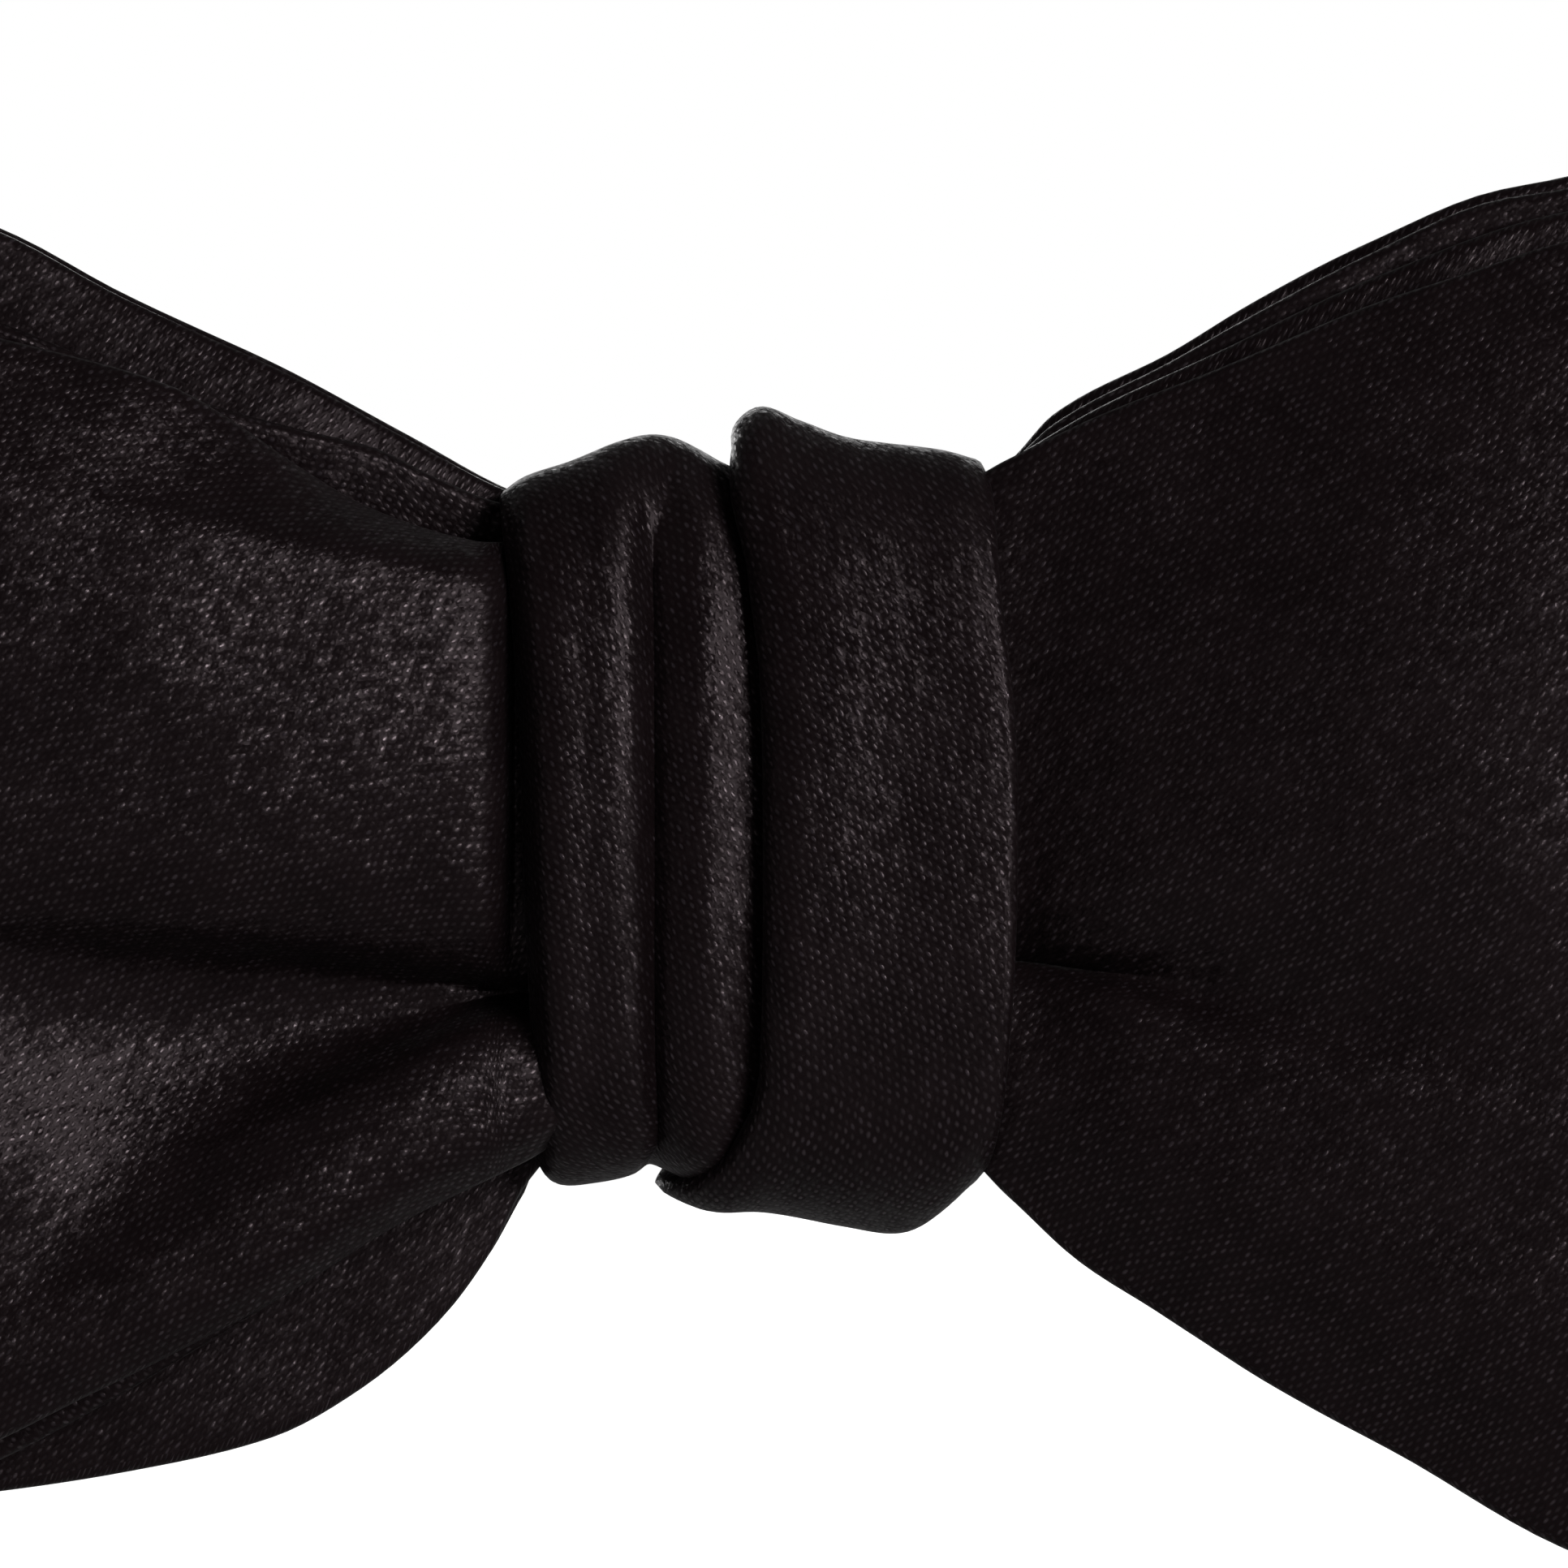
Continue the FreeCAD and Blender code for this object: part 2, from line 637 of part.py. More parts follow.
def plate(body, name, radius, thickness, rectangles):
    """A flat plate across the band with its windows, its middle at that radius."""
    sketch = sketch_in(body, "XZ_Plane", f"{name}_outline", radius)
    for number, sides in enumerate(rectangles):
        rectangle(sketch, f"{name}{number}", *sides)
    pad = body.newObject("PartDesign::Pad", f"{name}_pad")
    pad.Profile = sketch
    pad.Midplane = True
    pad.setExpression("Length", thickness)
    doc.recompute()
    return pad


def upright_bar(body, name, x, radius, height):
    """A round bar across the band."""
    sketch = sketch_in(body, "XY_Plane", f"{name}_section")
    sketch.addGeometry(Part.Circle(FreeCAD.Vector(x, -radius, 0), UP, size("bar_radius")))
    index = sketch.addConstraint(Sketcher.Constraint("Radius", 0, size("bar_radius")))
    sketch.renameConstraint(index, "rod_radius")
    sketch.setExpression("Constraints.rod_radius", "sizes.bar_radius")
    pad = body.newObject("PartDesign::Pad", f"{name}_pad")
    pad.Profile = sketch
    pad.Midplane = True
    pad.setExpression("Length", height)
    return pad


def soften(body, base, radius, chosen):
    """Rounds the chosen edges of a body's last feature."""
    doc.recompute()
    names = [f"Edge{i}" for i, edge in enumerate(base.Shape.Edges, start=1) if chosen(edge)]
    fillet = body.newObject("PartDesign::Fillet", f"{base.Name}_round")
    fillet.Base = (base, names)
    fillet.Radius = radius
    doc.recompute()
    return fillet


BAR_RING = size("bar_ring_radius")

slide = hardware_body("adjuster_slide", SLIDE)
slide_plate = plate(slide, "slide", size("slide_radius"), "sizes.slide_thickness", [
    ("-sizes.slide_length / 2", "sizes.slide_length / 2",
     "-sizes.hardware_height / 2", "sizes.hardware_height / 2"),
    ("-sizes.slide_length / 2 + sizes.slide_bar", "-sizes.slide_bar / 2",
     "-sizes.slot_height / 2", "sizes.slot_height / 2"),
    ("sizes.slide_bar / 2", "sizes.slide_length / 2 - sizes.slide_bar",
     "-sizes.slot_height / 2", "sizes.slot_height / 2"),
])
soften(slide, slide_plate, 0.35, lambda edge: True)

hook = hardware_body("hook", HOOK)
hook_plate = plate(hook, "frame", BAR_RING, "sizes.hook_stock", [
    ("0", "sizes.hook_frame_length", "-sizes.hardware_height / 2", "sizes.hardware_height / 2"),
    ("sizes.bar_radius / 2", "sizes.hook_window_end", "-sizes.slot_height / 2", "sizes.slot_height / 2"),
])
hook_plate = soften(hook, hook_plate, 1.5, lambda edge: (
    edge.BoundBox.XMin > size("hook_frame_length") - 0.01 and edge.BoundBox.ZLength < 0.01
    and abs(abs(edge.BoundBox.ZMin) - size("hardware_height") / 2) < 0.01))
tongue_sketch = sketch_in(hook, "XY_Plane", "tongue_plan")
stock, bend, reach = size("hook_stock"), size("hook_bend"), size("hook_reach")
inner_y = -BAR_RING - stock / 2
outer_y = -BAR_RING + stock / 2
centre = FreeCAD.Vector(reach, inner_y - bend, 0)
tip_x = reach - size("hook_return")
root_x = size("hook_window_end") + 0.6
tongue = [
    Part.LineSegment(FreeCAD.Vector(root_x, outer_y, 0), FreeCAD.Vector(reach, outer_y, 0)),
    Part.ArcOfCircle(Part.Circle(centre, UP, bend + stock), -math.pi / 2, math.pi / 2),
    Part.LineSegment(
        FreeCAD.Vector(reach, inner_y - 2 * bend - stock, 0),
        FreeCAD.Vector(tip_x, inner_y - 2 * bend - stock - 0.5, 0)),
    Part.LineSegment(
        FreeCAD.Vector(tip_x, inner_y - 2 * bend - stock - 0.5, 0),
        FreeCAD.Vector(tip_x, inner_y - 2 * bend - 0.4, 0)),
    Part.LineSegment(
        FreeCAD.Vector(tip_x, inner_y - 2 * bend - 0.4, 0), FreeCAD.Vector(reach, inner_y - 2 * bend, 0)),
    Part.ArcOfCircle(Part.Circle(centre, UP, bend), -math.pi / 2, math.pi / 2),
    Part.LineSegment(FreeCAD.Vector(reach, inner_y, 0), FreeCAD.Vector(root_x, inner_y, 0)),
    Part.LineSegment(FreeCAD.Vector(root_x, inner_y, 0), FreeCAD.Vector(root_x, outer_y, 0)),
]
tongue_sketch.addGeometry(tongue)
tongue_pad = hook.newObject("PartDesign::Pad", "tongue_pad")
tongue_pad.Profile = tongue_sketch
tongue_pad.Midplane = True
tongue_pad.setExpression("Length", "sizes.tongue_width")
upright_bar(hook, "hook_bar", 0, BAR_RING, "sizes.hardware_height")

eye = hardware_body("eye", EYE)
half_eye = (size("hardware_height") - 2 * size("bar_radius")) / 2
corners = [(0, half_eye), (0, -half_eye), (-size("eye_depth"), -half_eye), (-size("eye_depth"), half_eye)]
eye_path = sketch_in(eye, "XZ_Plane", "eye_path", BAR_RING)
path_wire = rounded_wire([((x, z, 0), size("eye_corner")) for x, z in corners])
for edge in path_wire.Edges:
    start, end = edge.Vertexes[0].Point, edge.Vertexes[-1].Point
    if isinstance(edge.Curve, Part.Line):
        eye_path.addGeometry(Part.LineSegment(start, end))
    else:
        eye_path.addGeometry(Part.Arc(start, edge.valueAt(sum(edge.ParameterRange) / 2), end))
eye_section = sketch_in(eye, "XY_Plane", "eye_section")
eye_section.addGeometry(Part.Circle(FreeCAD.Vector(0, -BAR_RING, 0), UP, size("bar_radius")))
index = eye_section.addConstraint(Sketcher.Constraint("Radius", 0, size("bar_radius")))
eye_section.renameConstraint(index, "wire_radius")
eye_section.setExpression("Constraints.wire_radius", "sizes.bar_radius")
eye_pipe = eye.newObject("PartDesign::AdditivePipe", "eye_pipe")
eye_pipe.Profile = eye_section
eye_pipe.Spine = (eye_path, [f"Edge{i + 1}" for i in range(eye_path.GeometryCount)])

doc.recompute()


# ---------------------------------------------------------------- check and export

for item in doc.Objects:
    if "Invalid" in item.State or "Error" in item.State:
        raise SystemExit(f"{item.Name} ({item.Label}) failed: {item.State}")
os.makedirs("parts", exist_ok=True)
for node in nodes:
    shape = node.Shape
    if shape.isNull() or not shape.isValid() or not shape.Solids:
        raise SystemExit(f"{node.Label} has no valid solid")
    shape.exportStep(f"parts/{node.Label}.step")
    box_of = shape.BoundBox
    print(
        f"{node.Label:28s} {len(shape.Solids):3d} solids {shape.Volume:9.1f} mm3  "
        f"X {box_of.XMin:6.1f} {box_of.XMax:6.1f}  Y {box_of.YMin:6.1f} {box_of.YMax:6.1f}  "
        f"Z {box_of.ZMin:6.1f} {box_of.ZMax:6.1f}"
    )
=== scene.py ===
import json
import math

import bpy
import numpy as np
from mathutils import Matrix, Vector, noise


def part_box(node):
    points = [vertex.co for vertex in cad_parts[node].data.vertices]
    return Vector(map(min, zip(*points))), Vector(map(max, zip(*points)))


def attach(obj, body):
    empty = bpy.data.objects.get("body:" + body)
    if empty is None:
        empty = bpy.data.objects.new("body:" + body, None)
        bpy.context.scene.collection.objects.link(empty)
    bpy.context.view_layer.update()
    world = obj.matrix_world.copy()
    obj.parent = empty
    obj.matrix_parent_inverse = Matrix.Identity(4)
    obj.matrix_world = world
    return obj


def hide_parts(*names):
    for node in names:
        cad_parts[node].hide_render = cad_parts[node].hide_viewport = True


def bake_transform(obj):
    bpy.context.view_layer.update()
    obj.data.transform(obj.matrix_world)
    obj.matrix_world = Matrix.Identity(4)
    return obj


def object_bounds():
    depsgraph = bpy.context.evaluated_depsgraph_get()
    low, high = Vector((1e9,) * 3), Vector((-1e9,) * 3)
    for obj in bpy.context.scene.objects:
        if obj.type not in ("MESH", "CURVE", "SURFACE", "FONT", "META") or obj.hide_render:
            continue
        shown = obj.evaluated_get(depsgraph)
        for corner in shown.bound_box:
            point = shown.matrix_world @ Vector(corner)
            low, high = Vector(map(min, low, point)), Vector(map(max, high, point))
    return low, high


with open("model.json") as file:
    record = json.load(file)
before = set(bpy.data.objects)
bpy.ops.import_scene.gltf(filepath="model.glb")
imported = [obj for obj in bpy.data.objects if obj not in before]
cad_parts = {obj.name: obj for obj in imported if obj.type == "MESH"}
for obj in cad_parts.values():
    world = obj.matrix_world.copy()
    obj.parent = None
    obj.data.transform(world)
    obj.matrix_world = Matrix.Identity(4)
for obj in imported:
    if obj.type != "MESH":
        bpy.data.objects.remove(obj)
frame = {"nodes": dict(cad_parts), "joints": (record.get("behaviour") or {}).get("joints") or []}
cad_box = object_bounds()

# A black satin bow tie: two bows of folded strip, a pleated knot and an adjustable neckband.
# Shapes are worked out in millimetres, in the frame's axes, and scaled to metres when a mesh is made.
# X runs to the wearer's left, -Y towards the camera, Z up.

MM = 0.001
NODES = frame["nodes"]
JOINTS = {joint["name"]: joint for joint in frame["joints"]}


def place(values):
    """A point of the frame in millimetres."""
    return np.array(values, float) / MM


def node_box(name):
    """Low and high corner of a CAD node's box in millimetres."""
    low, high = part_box(name)
    return place(low), place(high)


RING = place(JOINTS["slide_travel"]["pos_m"])


def beside(angle, along_band, radius):
    """Point of the ring's middle plane beside that angle: along the band, and out from the ring's axis."""
    a = math.radians(angle)
    return np.array([
        RING[0] + math.cos(a) * along_band + math.sin(a) * radius,
        RING[1] + math.sin(a) * along_band - math.cos(a) * radius,
    ])


def ring_angle(point):
    """Angle of a point round the ring, from the knot towards +X."""
    return math.degrees(math.atan2(point[0], RING[1] - point[1])) % 360


# ---------------------------------------------------------------- curves


def pchip(xs, ys, at):
    """Smooth curve through points that doesn't overshoot them. ys may have more columns."""
    xs = np.asarray(xs, float)
    ys = np.asarray(ys, float)
    flat = ys.reshape(len(xs), -1)
    step = np.diff(xs)[:, None]
    slope = np.diff(flat, axis=0) / step
    tangent = np.zeros_like(flat)
    tangent[0], tangent[-1] = slope[0], slope[-1]
    before, after = slope[:-1], slope[1:]
    weight_a = 2 * step[1:] + step[:-1]
    weight_b = step[1:] + 2 * step[:-1]
    same = before * after > 0
    with np.errstate(divide="ignore", invalid="ignore"):
        mean = (weight_a + weight_b) / (weight_a / before + weight_b / after)
    tangent[1:-1] = np.where(same, mean, 0.0)
    at = np.clip(np.asarray(at, float), xs[0], xs[-1])
    i = np.clip(np.searchsorted(xs, at, side="right") - 1, 0, len(xs) - 2)
    width = step[i]
    t = ((at - xs[i])[:, None]) / width
    value = (
        (2 * t ** 3 - 3 * t ** 2 + 1) * flat[i]
        + (t ** 3 - 2 * t ** 2 + t) * width * tangent[i]
        + (3 * t ** 2 - 2 * t ** 3) * flat[i + 1]
        + (t ** 3 - t ** 2) * width * tangent[i + 1]
    )
    return value.reshape((len(at),) + ys.shape[1:])


SPLINE_STEPS = 12


def spline(points, count):
    """Centripetal Catmull-Rom curve through points, with count evenly spaced samples."""
    points = np.asarray(points, float)
    points = np.concatenate([[2 * points[0] - points[1]], points, [2 * points[-1] - points[-2]]])
    fine = []
    for p0, p1, p2, p3 in zip(points, points[1:], points[2:], points[3:]):
        k1, k2, k3 = (max(np.linalg.norm(b - a), 1e-6) ** 0.5 for a, b in ((p0, p1), (p1, p2), (p2, p3)))
        t0, t1 = 0.0, k1
        t2, t3 = k1 + k2, k1 + k2 + k3
        t = np.linspace(t1, t2, SPLINE_STEPS, endpoint=False)[:, None]
        a1 = (t1 - t) / (t1 - t0) * p0 + (t - t0) / (t1 - t0) * p1
        a2 = (t2 - t) / (t2 - t1) * p1 + (t - t1) / (t2 - t1) * p2
        a3 = (t3 - t) / (t3 - t2) * p2 + (t - t2) / (t3 - t2) * p3
        b1 = (t2 - t) / (t2 - t0) * a1 + (t - t0) / (t2 - t0) * a2
        b2 = (t3 - t) / (t3 - t1) * a2 + (t - t1) / (t3 - t1) * a3
        fine.append((t2 - t) / (t2 - t1) * b1 + (t - t1) / (t2 - t1) * b2)
    return evenly(np.concatenate(fine + [points[-2:-1]]), count)


def evenly(line, count):
    """The line resampled to count points at even distances."""
    run = along(line)
    want = np.linspace(0, run[-1], count)
    return np.stack([np.interp(want, run, line[:, k]) for k in range(line.shape[1])], axis=1)


def along(line, axis=0):
    """Distance run along a line of points, or along each line of a grid."""
    step = np.linalg.norm(np.diff(line, axis=axis), axis=-1)
    start = np.zeros_like(np.take(step, [0], axis=axis))
    return np.concatenate([start, np.cumsum(step, axis=axis)], axis=axis)


def smooth(low, high, value):
    """0 at low, 1 at high and an even rise between them."""
    t = np.clip((np.asarray(value, float) - low) / (high - low), 0, 1)
    return t * t * (3 - 2 * t)


# ---------------------------------------------------------------- meshes


def new_object(name, verts, faces, uvs=None, material=None):
    """A smooth-shaded mesh object from points in millimetres. uvs has one row of millimetres per corner."""
    mesh = bpy.data.meshes.new(name)
    mesh.from_pydata((np.asarray(verts) * MM).tolist(), [], [[int(k) for k in face] for face in faces])
    mesh.polygons.foreach_set("use_smooth", np.ones(len(mesh.polygons), bool))
    if uvs is not None:
        layer = mesh.uv_layers.new(name="cloth")
        layer.data.foreach_set("uv", np.asarray(uvs, np.float32).ravel())
    mesh.update()
    piece = bpy.data.objects.new(name, mesh)
    bpy.context.scene.collection.objects.link(piece)
    if material is not None:
        mesh.materials.append(material)
    return piece


def grid_normals(grid, closed):
    """Unit normals of a grid of points, rows along the strip and columns across it."""
    if closed:
        ring = np.concatenate([grid[-1:], grid, grid[:1]])
        du = ring[2:] - ring[:-2]
    else:
        du = np.gradient(grid, axis=0)
    dv = np.gradient(grid, axis=1)
    normal = np.cross(du, dv)
    return normal / np.maximum(np.linalg.norm(normal, axis=-1, keepdims=True), 1e-9)


ROLL_STEPS = 5          # points round a long edge
TAPER_START = 0.25      # part of the thickness left at a tapered end


def skin(grid, half, closed, inward=False, end_taper=0):
    """Closed skin round a strip's middle surface: both sides, rolled long edges and closed ends.

    Returns points, faces and corner UVs. The UVs are distances along and round the strip.
    """
    rows, columns = grid.shape[:2]
    half = np.broadcast_to(np.asarray(half, float), (rows, columns)).copy()
    if end_taper:
        taper = np.ones(rows)
        ramp = np.sin(np.linspace(TAPER_START, 1, end_taper) * math.pi / 2)
        taper[:end_taper], taper[-end_taper:] = ramp, ramp[::-1]
        half *= taper[:, None]
    normal = grid_normals(grid, closed)
    across = np.gradient(grid, axis=1)
    across /= np.maximum(np.linalg.norm(across, axis=-1, keepdims=True), 1e-9)
    angles = np.linspace(0, math.pi, ROLL_STEPS + 2)[1:-1]

    def roll(column, sign):
        return [
            grid[:, column] + half[:, column, None] * (
                math.cos(a) * sign * normal[:, column] + math.sin(a) * sign * across[:, column])
            for a in angles
        ]

    front = [grid[:, k] + normal[:, k] * half[:, k, None] for k in range(columns)]
    back = [grid[:, k] - normal[:, k] * half[:, k, None] for k in range(columns - 1, -1, -1)]
    loop = np.stack(front + roll(columns - 1, 1) + back + roll(0, -1), axis=1)
    count = loop.shape[1]
    middle_run = along(grid[:, columns // 2])
    if closed:
        closing = np.linalg.norm(grid[0, columns // 2] - grid[-1, columns // 2])
        middle_run = np.append(middle_run, middle_run[-1] + closing)
    ring = np.concatenate([loop, loop[:, :1]], axis=1)
    around = along(ring, axis=1)
    around -= around[:, columns // 2][:, None]
    if closed:
        around = np.concatenate([around, around[:1]])
    row_pairs = rows if closed else rows - 1
    faces, uvs = [], []
    for i in range(row_pairs):
        j = (i + 1) % rows
        for k in range(count):
            m = (k + 1) % count
            quad = [i * count + k, j * count + k, j * count + m, i * count + m]
            uv = [
                (middle_run[i], around[i, k]), (middle_run[i + 1], around[i + 1, k]),
                (middle_run[i + 1], around[i + 1, k + 1]), (middle_run[i], around[i, k + 1]),
            ]
            if inward:
                quad.reverse()
                uv.reverse()
            faces.append(quad)
            uvs.extend(uv)
    if not closed:
        partner = cap_pairs(columns, count)
        for row, flip in ((0, False), (rows - 1, True)):
            for a, b, c, d in partner:
                quad = [row * count + q for q in (a, b, c, d)]
                uv = [(middle_run[row], around[row, q]) for q in (a, b, c, d)]
                if flip != inward:
                    quad.reverse()
                    uv.reverse()
                faces.append(quad)
                uvs.extend(uv)
    return loop.reshape(-1, 3), faces, uvs


def cap_pairs(columns, count):
    """Quads that close a strip's end: each joins two neighbours on the front to the two behind them."""
    half_roll = ROLL_STEPS // 2
    order = [(count - half_roll + n) % count for n in range(columns + 2 * half_roll)]
    mirror = [(order[0] - 1 - n) % count for n in range(len(order))]
    quads = [(order[n], order[n + 1], mirror[n + 1], mirror[n]) for n in range(len(order) - 1)]
    return [q for q in quads if len(set(q)) == 4]


ROOM_MARGIN = 2         # columns between the room inside a strip and its long edges


def strip_piece(name, grid, half, material, closed=False, hollow=None, end_taper=0):
    """A strip of cloth as a closed piece. hollow is the half thickness of the room inside its two layers."""
    verts, faces, uvs = skin(grid, half, closed, end_taper=end_taper)
    if hollow is not None:
        inner_verts, inner_faces, inner_uvs = skin(inset(grid, ROOM_MARGIN), hollow, closed, inward=True)
        offset = len(verts)
        verts = np.concatenate([verts, inner_verts])
        faces = faces + [[offset + k for k in face] for face in inner_faces]
        uvs = uvs + inner_uvs
    return new_object(name, verts, faces, uvs, material)


def inset(grid, columns):
    """The strip without that many columns at each long edge."""
    return grid[:, columns:-columns]


def tube(line, radius, sides=8):
    """Points and faces of a round thread along a line, with closed ends."""
    line = np.asarray(line, float)
    tangent = np.gradient(line, axis=0)
    tangent /= np.linalg.norm(tangent, axis=1, keepdims=True)
    side = np.cross(tangent[0], [0.3, 0.5, 0.8])
    verts = []
    for t, p in zip(tangent, line):
        side = side - t * (side @ t)
        side /= np.linalg.norm(side)
        other = np.cross(t, side)
        for k in range(sides):
            a = 2 * math.pi * k / sides
            verts.append(p + radius * (math.cos(a) * side + math.sin(a) * other))
    rows = len(line)
    faces = []
    for i in range(rows - 1):
        here, ahead = i * sides, (i + 1) * sides
        for k in range(sides):
            m = (k + 1) % sides
            faces.append([here + k, here + m, ahead + m, ahead + k])
    faces.append(list(range(sides))[::-1])
    faces.append([(rows - 1) * sides + k for k in range(sides)])
    return verts, faces


def declare(piece, node, body=None):
    """Puts a piece on the body it rides on, if one is given, and hides the CAD node it stands for."""
    if body is not None:
        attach(piece, body)
    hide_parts(node)


def threads(name, lines, radius, material):
    """Several threads in one piece."""
    verts, faces = [], []
    for line in lines:
        more, quads = tube(line, radius)
        faces += [[len(verts) + k for k in quad] for quad in quads]
        verts += more
    return new_object(name, verts, faces, None, material)


# ---------------------------------------------------------------- materials


class Nodes:
    """Short names for building the node tree of a material or a world."""

    def __init__(self, owner, shader="Principled BSDF"):
        owner.use_nodes = True
        self.owner = owner
        self.tree = owner.node_tree
        self.shader = self.tree.nodes[shader]

    def add(self, kind, **settings):
        node = self.tree.nodes.new(kind)
        for key, value in settings.items():
            setattr(node, key, value)
        return node

    def link(self, source, target):
        self.tree.links.new(source, target)

    def feed(self, socket, value):
        if hasattr(value, "is_output"):
            self.link(value, socket)
        else:
            socket.default_value = value

    def maths(self, operation, *inputs):
        node = self.add("ShaderNodeMath", operation=operation)
        for socket, value in zip(node.inputs, inputs):
            self.feed(socket, value)
        return node.outputs[0]

    def vector(self, operation, *inputs, output=0):
        node = self.add("ShaderNodeVectorMath", operation=operation)
        for socket, value in zip(node.inputs, inputs):
            self.feed(socket, value)
        return node.outputs[output]

    def ramp(self, value, low, high, out_low=0.0, out_high=1.0, shape="SMOOTHSTEP"):
        node = self.add("ShaderNodeMapRange", interpolation_type=shape)
        sockets = ("Value", "From Min", "From Max", "To Min", "To Max")
        for name, number in zip(sockets, (value, low, high, out_low, out_high)):
            self.feed(node.inputs[name], number)
        return node.outputs["Result"]

    def mix(self, factor, a, b):
        node = self.add("ShaderNodeMix", data_type="RGBA")
        self.feed(node.inputs["Factor"], factor)
        self.feed(node.inputs[6], a)
        self.feed(node.inputs[7], b)
        return node.outputs[2]

    def pattern(self, kind, coordinates, inputs, **settings):
        """A texture or mapping node fed with coordinates. inputs are its other sockets by name."""
        node = self.add(kind, **settings)
        self.link(coordinates, node.inputs["Vector"])
        for name, value in inputs.items():
            self.feed(node.inputs[name], value)
        return node

    def noise(self, coordinates, scale, detail=2.0, roughness=0.5):
        inputs = {"Scale": scale, "Detail": detail, "Roughness": roughness}
        return self.pattern("ShaderNodeTexNoise", coordinates, inputs).outputs["Fac"]

    def bands(self, coordinates, direction, **inputs):
        inputs = {name.replace("_", " "): value for name, value in inputs.items()}
        settings = {"wave_type": "BANDS", "bands_direction": direction}
        return self.pattern("ShaderNodeTexWave", coordinates, inputs, **settings).outputs["Fac"]

    def bump(self, height, strength, distance, normal=None):
        node = self.add("ShaderNodeBump")
        node.inputs["Strength"].default_value = strength
        node.inputs["Distance"].default_value = distance
        self.link(height, node.inputs["Height"])
        if normal is not None:
            self.link(normal, node.inputs["Normal"])
        return node.outputs["Normal"]

    def set(self, **values):
        for name, value in values.items():
            self.feed(self.shader.inputs[name.replace("_", " ")], value)


THREAD_PITCH = 0.115    # mm between the satin's fine threads
LEAN_SIZE = 0.12        # mm across a float that leans its own way
TINT = (0.0076, 0.0046, 0.0051)
TINT_DARK = (0.86, 0.84, 0.86)
TINT_LIGHT = (1.12, 1.12, 1.14)
# base colour of the painted glints on a few of the satin's binding dots
PAINTED_GLINT_COLOUR = (0.055, 0.044, 0.052, 1)
BASE_SHINE, DOT_SHINE, CHANCE_SHINE = 0.13, 0.14, 0.50


